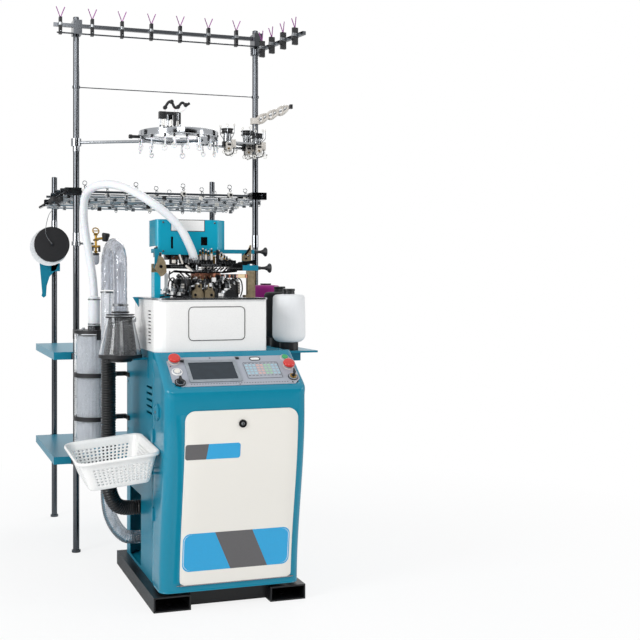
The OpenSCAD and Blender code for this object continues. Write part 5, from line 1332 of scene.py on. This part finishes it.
def ring_pieces():
    """The polished feeder ring with the pale band under it, its two arms, the hanging yarn eyelets,
    the black clip, and the solenoid box with a bent guide that stands on the ring's front."""
    x, y, z = RING
    arc = [(148.5 + 1.5 * math.cos(t), 20.5 + 1.5 * math.sin(t)) for t in np.linspace(0, math.pi, 9)]
    bright = [lathe([(147, 0), (150, 0), *arc, (147, 0)], RING, sides=128)]
    for px, dx, dy in ((POLES[1], 0.733, -0.681), (POLES[0], -0.795, -0.607)):
        bright.append(bar((x - dx * 148, y - dy * 148, z + 8), (px, FRONT_ROW, z + 8), 6, 20))
        bright.append(collar((px, FRONT_ROW, z), 20.5, -7, 23, 48))
    band_rim = [(140, -9), (144, -9), (144, -2), (148, -0.5), (140, -0.5), (140, -9)]
    pale = [lathe(band_rim, RING, sides=128)]
    dark, clear, white = [], [], []
    for k, angle in enumerate((190, 214, 236, 250, 268, 286, 306, 330, 10, 36, 70, 120, 152)):
        low = -34 - 4 * (k % 3)
        unit_parts = [
            (dark, button((146, 0, -11), (1, 0, 0), 4, 5, 12)),
            (bright, bar((146, 0, -6), (150, 0, low), 1.6, 10)),
            (clear, hoop((150, 0, low - 12), 9, 2, (1, 0, 0.2))),
            (white, hoop((150, 0, low - 5), 4.5, 1.8, (0, 1, 0))),
            (dark, slab(145, -3, -10, 150, 3, -2, 0.4)),
            (clear, bar((151, 4, -14), (153, 4, low - 8), 2.6, 12)),
        ]
        for group, p in unit_parts:
            group.append(turned(p, angle) + (x, y, z))
    for k in range(26):
        p = turned(button((150, 0, 7 - 11 * (k % 2)), (1, 0, 0), 2.4, 2, 10), 14 * k + 5) + (x, y, z)
        (dark if k % 3 == 0 else bright).append(p)
    dark += [slab(-236, 214, 1611, -194, 228, 1621, 1, 4), bar((-236, 221, 1616), (-222, 221, 1616), 8, 20)]
    bright.append(bar((-214, 221, 1616), (-190, 221, 1622), 3))
    dark += [
        slab(-151, 84, 1668, -124, 104, 1694, 1, 3), slab(-128, 86, 1684, -74, 104, 1694),
        slab(-98, 82, 1644, -88, 96, 1690), slab(-76, 84, 1650, -70, 98, 1692),
    ]
    bright += [slab(-122, 88, 1664, -100, 104, 1684), slab(-88, 84, 1662, -76, 104, 1690, 0.8, 5)]
    for k, foot in enumerate((-146, -134, -118, -106, -92, -80, -72)):
        (white if k % 2 else bright).append(bar((foot, 90, 1638), (foot, 92, 1668), 3 + k % 2, 14))
        dark.append(button((foot, 90, 1641), (0, -1, 0), 3, 6, 12))
    zigzag = [
        (-128, 91, 1709), (-116, 91, 1728), (-104, 91, 1731), (-92, 91, 1711), (-80, 91, 1713),
        (-64, 91, 1730), (-50, 91, 1722), (-36, 91, 1729),
    ]
    dark.append(cable(zigzag, 5, 12, 40))
    dark += [bar((px, 84, pz), (px, 98, pz), 7.5, 20) for px, _, pz in zigzag[::2]]
    clear += [
        bar((px, 92, 1690), (px, 92, pz - 3), 1.3, 8) for px, _, pz in (zigzag[0], zigzag[3], zigzag[4])
    ]
    clear.append(cable([(-80, 92, 1690), (-60, 92, 1700), (-48, 92, 1712), (-50, 91, 1720)], 1.3, 8))
    piece(
        "feeder_ring_polished", parts(bright, pale, dark, clear, white),
        [CHROME, ALUMINIUM, BLACK_NYLON, MILKY_PVC, ALUMINA],
        nodes=("feeder_ring",),
    )


def feeder_pieces():
    """Three yarn feeders: a turned motor case under each wheel, a switch box with lamps,
    feelers, eyelets and wires, and the slanting guide arm with three twisted loops."""
    steel, dark, pale, white, brass = [], [], [], [], []
    for k, (x, y, z) in enumerate(WHEELS):
        low = 1633
        case = [
            (15, 0), (17, 2), (17, z - low - 10), (14, z - low - 9), (14, z - low - 5), (17, z - low - 4),
            (17, z - low - 1), (8, z - low - 0.6),
        ]
        steel.append(capped(lathe(case, (x, y, low), sides=40)))
        pale += [
            slab(x - 13, y - 34, low - 34, x + 11, y + 8, low - 2, 1, 3),
            slab(x + 12, y - 26, low - 22, x + 30, y + 2, low + 12, 1, 3),
        ]
        lead = [
            (x + 20, y - 26, low - 20), (x + 12, y - 34, low - 46), (x - 14, y - 30, low - 52),
            (x - 20, y - 22, low - 16),
        ]
        dark += [
            slab(x - 9, y - 36, low - 14, x + 7, y - 33, low - 6, 0.4),
            slab(x - 24, y - 22, low - 18, x - 13, y - 4, low + 4),
            cable(lead, 2),
        ]
        for i in range(4):
            spot = np.array([x - 22.0 + 15 * i, y - 30.0 - 3 * (i % 2), low - 40 - 5 * ((i + k) % 3)])
            white.append(hoop(spot, 6, 1.8, (0.3, 1, 0)))
            steel.append(bar(spot + (0, 2, 6), spot + (1, 6, 22), 1.3, 8))
            dark.append(button(spot + (7, 0, 8), (0, -1, 0), 2.6, 3, 10))
        for i in range(3):
            a = math.radians(200 + 55 * i + 20 * k)
            top = np.array([x + 34 * math.cos(a), y + 34 * math.sin(a), z + 20 + 3 * i])
            foot = (x + 15 * math.cos(a), y + 15 * math.sin(a), low + 10)
            steel.append(cable([foot, top - (0, 0, 26), top], 1.4, 8, 16))
            white.append(hoop(top + (0, 0, 5), 4.5, 1.5, (math.cos(a), math.sin(a), 0)))
        brass.append(button((x - 4, y - 36, low - 26), (0, -1, 0), 4, 4, 6))
        steel.append(coil((x - 8, y - 24, low - 4), (x - 8, y - 24, low + 16), 4, 6, 0.8))
    bracket = [(190, 396), (206, 386), (345, 435), (362, 452), (362, 500), (330, 530), (310, 520)]
    rows = [np.column_stack([bracket, np.full(len(bracket), z)]) for z in (1633, 1639)]
    steel.append(capped(np.stack(rows)))
    pale.append(collar((POLES[1], FRONT_ROW, 0), 20.5, 1733, 1757))
    steel.append(bar((366, 531, 1745), (495, 450, 1800), 4, 16))
    way = unit(np.array([129.0, -81.0, 55.0]))
    for t in (0.2, 0.48, 0.76):
        mid = np.array([366.0, 531.0, 1745.0]) + np.array([129.0, -81.0, 55.0]) * t
        a = np.linspace(0, math.tau, 41)[:, None]
        twist = np.array([0.5, 0.8, 0]) * 9 * np.sin(2 * a)
        loop = mid + way * 25 * np.cos(a) + np.array([0, 0, 15.0]) * np.sin(a) + twist
        pale.append(sweep(loop, 5.6, 12))
        pale.append(bar(mid - (0, 0, 12), mid + (0, 0, 12), 5, 16))
    dark.append(slab(486, 442, 1791, 499, 456, 1809, 1, 3))
    piece(
        "yarn_feeders", parts(steel, dark, pale, white, brass),
        [STEEL, BLACK_NYLON, PALE_NYLON, ALUMINA, BRASS],
        nodes=("feeder_units",),
    )


def tensioner_pieces():
    """Disc tensioners on the three rods: a steel clip, two facing discs with a spring and nut,
    a stem with two stacked eyelets, and the rails, clips and wires of the tray below them."""
    steel, dark, white, rails = [], [], [], []
    rows = ((-326, -111, 92, 299), (-205, 11, 217, 419), (-95, 107, 320))
    for y, xs in zip((690, 845, 1000), rows):
        for k, x in enumerate(xs):
            z = 1445
            steel.append(slab(x - 8, y - 11, z - 11, x + 8, y + 11, z + 11, 1, 3))
            dark += [
                slab(x - 12, y - 13, z - 14, x - 3, y - 2, z + 2),
                button((x, y - 20, z), (0, -1, 0), 6, 8, 20),
                button((x, y, z + 25), (0, 0, 1), 3, 4, 12),
                slab(x + 4, y - 12, z - 30, x + 12, y - 2, z - 20),
            ]
            steel += [
                coil((x, y - 17, z), (x, y - 26, z), 4, 4, 0.7),
                bar((x, y, z + 10), (x, y, z + 30), 1.6, 10),
                hoop((x, y, z + 36), 8.5, 1.6, (0, 1, 0)),
                hoop((x + 2, y - 4, z + 20), 5, 1.4, (0, 1, 0.4)),
            ]
            white += [
                button((x, y - 11, z), (0, -1, 0), 12, 2, 32),
                button((x, y - 16, z), (0, 1, 0), 11, 2, 32),
                hoop((x, y - 14, z - 20), 5, 2, (0, 1, 0)),
                bar((x - 9, y - 6, z - 24), (x + 9, y - 6, z - 24), 3, 12),
            ]
    for k, y in enumerate((575, 620, 655, 760, 800, 905, 950, 1050, 1100, 1150)):
        z = 1418 - 7 * (k % 3)
        rails.append(bar((-430, y, z), (400, y, z), 4.5 - k % 2, 12))
        for i in range(11):
            x = -410 + 78 * i + mixed(k, 0, 60)
            (dark if (i + k) % 5 == 0 and x < 0 else white if (i + k) % 3 == 1 else steel).append(
                slab(x - 6, y - 6, z - 10, x + 8 + 2 * (i % 3), y + 6, z + 7, 0.8, 3)
            )
            if (i + k) % 2:
                steel.append(hoop((x, y - 7, z - 12), 5, 1.2, (0, 1, 0.2)))
    for x in (-400, -250, -60, 130, 340):
        rails.append(bar((x, 550, 1408), (x, 1170, 1408), 5, 12))
    for x in (-466, -440):
        dark += [slab(x - 8, 560 + 40 * i, 1392, x + 8, 574 + 40 * i, 1412) for i in range(4)]
    piece(
        "disc_tensioners", parts(steel, dark, white, rails),
        [STEEL, BLACK_NYLON, ALUMINA, ALUMINIUM],
        nodes=("tensioners",),
    )


def sensor_details():
    """Steel bands and purple feeler wires of the stop-motion sensors, and the screws of
    the top bar's clamps."""
    steel, wires = [], []
    spots = [(x, 501.5, 0) for x in [-453, -328] + [-328 + 119 * i for i in range(1, 6)]]
    lean = math.radians(10.9)
    out, side = np.array([math.sin(lean), -math.cos(lean), 0]), 79.1
    spots += [
        (*(np.array([POLES[1], FRONT_ROW, 0]) + d * out + np.array([-out[1], out[0], 0]) * -7)[:2], 1)
        for d in (90, 170, 260, 350)
    ]
    for x, y, kind in spots:
        turn, z = (-side, 2036) if kind else (0, 2083)
        steel.append(turned(slab(-7, -23, -7, 7, 1, 5, 0.5, 1) + (x, y, z), turn, (x, y, z)))
        steel.append(turned(button((0, -22, -30), (0, -1, 0), 2.6, 3, 12) + (x, y, z), turn, (x, y, z)))
        for s in (-1, 1):
            line = bar((0, -11, 24), (16.6 * s, -16.2, 65.5), 1.9, 8)
            wires.append(turned(line + (x, y, z), turn, (x, y, z)))
    for x in POLES:
        steel += [button((x + dx, 506, z), (0, -1, 0), 4, 4, 6) for dx, z in ((-10, 2095), (10, 2060))]
    piece("sensor_bands", parts(steel, wires), [STEEL, "Purple anodised spring wire"])


def stand_pieces():
    """Left creel fittings: the foam disc with its cap and wire, the white cone behind it, its
    teal bracket, and the brass air regulator with a hand wheel, black knob and clear bowl."""
    x, y, z = -407, 1100, 1240
    arc = [(74 + 5 * math.cos(t), 6 + 6 * math.sin(t)) for t in np.linspace(-QUARTER, QUARTER, 9)]
    foam = capped(lathe([(10, 0), *arc, (10, 12)], (x, y + 12, z), (0, -1, 0), 72))
    cone = lathe([(84, 0), (84, 6), (60, 44), (50, 52), (20, 52)], (x - 12, y + 12, z - 12), (0, 1, 0), 64)
    cap = [button((x, y, z), (0, -1, 0), 7, 5, 24), button((x, y - 5, z), (0, -1, 0), 3, 5, 12)]
    line = [(x, y - 8, z), (x - 30, y - 14, z + 50), (x - 16, y - 12, z + 130), (x + 12, 1060, z + 165)]
    wire = [cable(line, 1.4, 8, 30)]
    shape = [
        (-455, 1162), (-447, 1070), (-443, 1022), (-446, 1008), (-436, 1000), (-426, 1008), (-425, 1048),
        (-410, 1095), (-380, 1130), (-366, 1162), (-370, 1250), (-440, 1250),
    ]
    teal = [
        prism(shape, y + 64.3, y + 69.3),
        slab(POLES[0] - 22, y + 64.3, 1120, POLES[0] + 22, 1207, 1156, 0.8, 3),
    ]
    piece(
        "elastic_package", parts([foam], [capped(cone)], cap, wire, teal),
        [
            "Black polyurethane foam, cut", "White polyester yarn, cross wound", BLACK_NYLON,
            STEEL, TEAL_COAT,
        ],
        nodes=("yarn_stand",),
    )
    cx, cy = -306.5, 533
    nuts = [(1258, 9, 6), (1236, 11, 8), (1208, 12, 10), (1190, 9, 6)]
    brass = [bar((cx, cy, 1176), (cx, cy, 1268), 5, 24), bar((cx, cy, 1243), (cx + 34, cy - 4, 1248), 5, 20)]
    brass += [button((cx, cy, h), (0, 0, 1), r, t, 6) for h, r, t in nuts]
    brass += [
        hoop((cx, cy, 1276), 13, 2.6, (0.2, -1, 0.4)),
        bar((cx - 12, cy, 1276), (cx + 12, cy, 1276), 2),
        bar((cx - 18, cy, 1214), (cx + 18, cy, 1214), 5, 16),
    ]
    steel = [slab(POLES[0] + 18, cy - 4, 1221, cx - 8, cy + 4, 1229, 0.8)]
    steel.append(collar((POLES[0], FRONT_ROW, 0), 18, 1217, 1233))
    knob = [(9, 0), (12, 3), (14, 18), (16, 24), (16, 30), (13, 34), (0.1, 34)]
    dark = [
        capped(lathe(knob, (cx + 36, cy - 4, 1234), (0.12, -0.1, 1), 32)),
        bar((cx - 14, cy - 6, 1196), (cx - 14, cy - 6, 1214), 5, 16),
        bar((cx + 13, cy - 6, 1192), (cx + 13, cy - 6, 1212), 5, 16),
        bar((cx, cy, 1178), (cx, cy, 1188), 14, 32),
    ]
    bowl = [(4, 1141), (11, 1146), (14, 1154), (14, 1178)]
    piece(
        "air_regulator",
        parts(brass, dark, [capped(lathe(bowl, (cx, cy, 0), sides=40))], steel),
        [BRASS, BLACK_NYLON, GREY_PVC, STEEL],
    )


class KnitHoses(bpy.types.PropertyGroup):
    """Sizes of the hoses."""

    white_pitch: FloatProperty(
        name="White pitch", description="Distance between ribs of the suction hose, mm", default=6.0, min=3,
        max=20,
    )
    white_rib: FloatProperty(
        name="White rib", description="Depth of the suction hose's ribs, mm", default=0.8, min=0, max=3,
    )
    black_pitch: FloatProperty(
        name="Black pitch", description="Distance between corrugations of the air hose, mm", default=9.0,
        min=4, max=25,
    )
    black_rib: FloatProperty(
        name="Black rib", description="Depth of the air hose's corrugations, mm", default=3.2, min=0, max=6,
    )


class KnitBasket(bpy.types.PropertyGroup):
    """Sizes of the basket's lattice."""

    basket_columns: IntProperty(
        name="Columns", description="Lattice columns on one quarter of the basket", default=36, min=12,
        max=90,
    )


class KnitStage(bpy.types.PropertyGroup):
    """Light of the studio."""

    key_power: FloatProperty(
        name="Key light", description="Power of the soft box left of the camera, watts", default=62.0,
        min=0, max=2000,
    )
    sky_level: FloatProperty(
        name="Sky", description="Level of the even studio light", default=0.55, min=0, max=3,
    )


class KNIT_OT_materials(bpy.types.Operator):
    """Make every material and give the CAD nodes theirs"""

    bl_idname = "knit.materials"
    bl_label = "Materials"

    def execute(self, context):
        make_materials()
        for name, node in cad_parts.items():
            for slot in node.material_slots:
                key = slot.material.name.split(".")[0] if slot.material else ""
                look = SPECIAL.get(name) or FINISHES.get(key)
                if look is None:
                    raise RuntimeError(f"no finish for {name} with {key}")
                slot.material = bpy.data.materials[look]
        return {"FINISHED"}


class KNIT_OT_cover(bpy.types.Operator):
    """Build the front shell with its clips and the skirt's bare field"""

    bl_idname = "knit.cover"
    bl_label = "Front shell"

    def execute(self, context):
        cover_piece()
        cover_details()
        return {"FINISHED"}


class KNIT_OT_door(bpy.types.Operator):
    """Build the front door with its plain fields"""

    bl_idname = "knit.door"
    bl_label = "Front door"

    def execute(self, context):
        door_piece()
        door_fields()
        return {"FINISHED"}


class KNIT_OT_panel(bpy.types.Operator):
    """Dress the console"""

    bl_idname = "knit.panel"
    bl_label = "Console"

    def execute(self, context):
        panel_pieces()
        switch_pieces()
        return {"FINISHED"}


class KNIT_OT_hoses(bpy.types.Operator):
    """Build the hoses and the sock pipe"""

    bl_idname = "knit.hoses"
    bl_label = "Hoses"

    def execute(self, context):
        hose_pieces(context.scene.knit_hoses)
        return {"FINISHED"}


class KNIT_OT_receiver(bpy.types.Operator):
    """Build the clear receiver and the waste tank"""

    bl_idname = "knit.receiver"
    bl_label = "Receiver and tank"

    def execute(self, context):
        receiver_pieces()
        receiver_base_piece()
        tank_piece()
        return {"FINISHED"}


class KNIT_OT_basket(bpy.types.Operator):
    """Build the sock basket"""

    bl_idname = "knit.basket"
    bl_label = "Basket"

    def execute(self, context):
        basket_piece(context.scene.knit_basket)
        return {"FINISHED"}


class KNIT_OT_yarn(bpy.types.Operator):
    """Build the yarn packages"""

    bl_idname = "knit.yarn"
    bl_label = "Yarn"

    def execute(self, context):
        cone_pieces()
        return {"FINISHED"}


class KNIT_OT_head(bpy.types.Operator):
    """Build the cam ring, the selectors, the small parts, the dial arm and its fingers"""

    bl_idname = "knit.head"
    bl_label = "Knitting head"

    def execute(self, context):
        cam_pieces()
        selector_pieces()
        head_details()
        dial_arm_piece()
        finger_pieces()
        return {"FINISHED"}


class KNIT_OT_hood(bpy.types.Operator):
    """Build the folded hood and what shows behind it"""

    bl_idname = "knit.hood"
    bl_label = "Hood"

    def execute(self, context):
        hood_piece()
        upper_head_details()
        return {"FINISHED"}


class KNIT_OT_creel(bpy.types.Operator):
    """Build the poles, the feeder ring with its feeders, the tensioners, the bands and the left fittings"""

    bl_idname = "knit.creel"
    bl_label = "Creel"

    def execute(self, context):
        pole_pieces()
        ring_pieces()
        feeder_pieces()
        tensioner_pieces()
        sensor_details()
        stand_pieces()
        return {"FINISHED"}


def soft_box(name, place, target, size, power):
    """A soft box of `size` metres, width and height, that faces a target."""
    light = bpy.data.lights.new(name, "AREA")
    light.shape, light.size, light.size_y, light.energy = "RECTANGLE", *size, power
    lamp = bpy.data.objects.new(name, light)
    bpy.context.scene.collection.objects.link(lamp)
    from_to = np.asarray(target, float) - np.asarray(place, float)
    lamp.location = place
    lamp.rotation_euler = (
        math.acos(-from_to[2] / np.linalg.norm(from_to)), 0, math.atan2(from_to[1], from_to[0]) - math.pi / 2,
    )
    return lamp


def flag(name, place, wide, tall, angle):
    """A black card on edge, turned by `angle` degrees: only mirrors see it, so that
    chrome gets its dark lines."""
    card = piece(name, [Part(front(plate(wide, tall, 10, 1), 0, 0, 0))], ["Black felt, pressed"], None)
    card.location = place
    card.rotation_euler = (0, 0, math.radians(angle))
    for ray in ("camera", "diffuse", "transmission", "volume_scatter", "shadow"):
        setattr(card, "visible_" + ray, False)
    return card


# The camera of the photograph, in metres, degrees and millimetres, and half the floor's width in millimetres
CAMERA_PLACE, CAMERA_TURN = (-1.013, -3.639, 1.080), 17.98
LENS, SENSOR, SHIFT = 58.95, 36, (0.109375, -0.0625)
FLOOR_HALF = 9e3


class KNIT_OT_stage(bpy.types.Operator):
    """Set up the camera, the pale floor, the studio light and the white background"""

    bl_idname = "knit.stage"
    bl_label = "Stage"

    def execute(self, context):
        look, scene = context.scene.knit_stage, context.scene
        camera = bpy.data.cameras.new("Photo camera")
        camera.sensor_width, camera.lens = SENSOR, LENS
        camera.shift_x, camera.shift_y = SHIFT
        eye = bpy.data.objects.new("Photo camera", camera)
        scene.collection.objects.link(eye)
        eye.location = CAMERA_PLACE
        eye.rotation_euler = (math.pi / 2, 0, -math.radians(CAMERA_TURN))
        scene.camera = eye
        scene.view_settings.view_transform = "Standard"
        corners = np.array(
            [[(x, y, 0) for x in (-FLOOR_HALF, FLOOR_HALF)] for y in (-FLOOR_HALF, FLOOR_HALF)]
        )
        floor = piece("Floor", [Part(corners, 0, False)], [], None)
        pale = finish("Pale studio floor, painted", "#fbfbfb", (0.8, 0.9), 50, 0.0, 0.99)
        floor.data.materials.append(pale.mat)
        path = add(pale.tree, "ShaderNodeLightPath")
        far = add(pale.tree, "ShaderNodeVectorMath", {0: pale.place.outputs["Object"]}, operation="LENGTH")
        fade = add(
            pale.tree,
            "ShaderNodeMapRange",
            {"Value": far.outputs["Value"], "From Min": 1.1, "From Max": 2.6, "To Min": 0.82, "To Max": 1.0},
        )
        seen = {0: path.outputs["Is Camera Ray"], 1: fade.outputs[0]}
        part = add(pale.tree, "ShaderNodeMath", seen, operation="MULTIPLY")
        white = add(pale.tree, "ShaderNodeEmission", {"Color": (1, 1, 1, 1), "Strength": 1.0})
        mix = add(
            pale.tree, "ShaderNodeMixShader",
            {0: part.outputs[0], 1: pale.skin.outputs[0], 2: white.outputs[0]},
        )
        end = next(n for n in pale.tree.nodes if n.type == "OUTPUT_MATERIAL")
        pale.tree.links.new(mix.outputs[0], end.inputs["Surface"])
        lamps = [
            soft_box("Key", (-3.0, -1.5, 2.1), (0, 0, 1.0), (1.1, 1.8), look.key_power),
            soft_box("Right strip", (3.0, -1.9, 1.6), (0, 0, 1.0), (0.5, 1.8), look.key_power * 0.3),
            soft_box("Front fill", (-0.6, -4.2, 2.9), (0, 0, 0.9), (1.6, 1.0), look.key_power * 0.45),
            soft_box("Rim", (1.2, 2.8, 3.2), (0, 0.4, 1.0), (1.6, 1.6), look.key_power * 0.6),
        ]
        cards = [
            flag("Flag left", (-2.7, 1.9, 1.2), 900, 2400, 50),
            flag("Flag right", (2.9, 1.3, 1.2), 900, 2400, -60),
            flag("Flag front", (-2.9, -3.6, 1.2), 500, 2400, -40),
            flag("Flag back", (0.8, -6.2, 1.5), 9000, 4200, 0),
            flag("Flag hood", (-0.75, 1.9, 1.36), 620, 420, -15),
        ]
        world = bpy.data.worlds.new("Studio")
        world.use_nodes = True
        scene.world = world
        tree = world.node_tree
        tree.nodes.clear()
        path = add(tree, "ShaderNodeLightPath")
        seen = add(tree, "ShaderNodeBackground", {"Color": (1, 1, 1, 1), "Strength": 1.0})
        sky = add(tree, "ShaderNodeBackground", {"Color": (0.96, 0.98, 1, 1), "Strength": look.sky_level})
        either = path.outputs["Is Camera Ray"]
        for ray in ("Is Glossy Ray", "Is Transmission Ray"):
            either = add(
                tree, "ShaderNodeMath", {0: either, 1: path.outputs[ray]}, operation="MAXIMUM",
            ).outputs[0]
        both = add(tree, "ShaderNodeMixShader", {0: either, 1: sky.outputs[0], 2: seen.outputs[0]})
        add(tree, "ShaderNodeOutputWorld", {"Surface": both.outputs[0]})
        return {"FINISHED"}


class KNIT_PT_panel(bpy.types.Panel):
    """Settings and operators of the knitting machine"""

    bl_label = "Sock knitting machine"
    bl_space_type = "VIEW_3D"
    bl_region_type = "UI"
    bl_category = "Knitting"

    def draw(self, context):
        scene = context.scene
        for group in (scene.knit_hoses, scene.knit_basket, scene.knit_stage):
            box = self.layout.box()
            for key in type(group).__annotations__:
                box.prop(group, key)
        for operator in OPERATORS:
            self.layout.operator(operator.bl_idname)


GROUPS = (KnitHoses, KnitBasket, KnitStage)
OPERATORS = (
    KNIT_OT_materials, KNIT_OT_cover, KNIT_OT_door, KNIT_OT_panel, KNIT_OT_hoses, KNIT_OT_receiver,
    KNIT_OT_basket, KNIT_OT_yarn, KNIT_OT_head, KNIT_OT_hood, KNIT_OT_creel, KNIT_OT_stage,
)
SETTINGS = {"knit_hoses": KnitHoses, "knit_basket": KnitBasket, "knit_stage": KnitStage}


def register():
    """Registers the classes and attaches the settings to the scene."""
    for cls in (*GROUPS, *OPERATORS, KNIT_PT_panel):
        bpy.utils.register_class(cls)
    for name, group in SETTINGS.items():
        setattr(bpy.types.Scene, name, PointerProperty(type=group))


def unregister():
    """Takes the settings and the classes away again."""
    for name in SETTINGS:
        delattr(bpy.types.Scene, name)
    for cls in reversed((*GROUPS, *OPERATORS, KNIT_PT_panel)):
        bpy.utils.unregister_class(cls)


def main():
    """Runs every operator in order."""
    register()
    for operator in OPERATORS:
        group, name = operator.bl_idname.split(".")
        getattr(getattr(bpy.ops, group), name)()


if __name__ == "__main__":
    main()
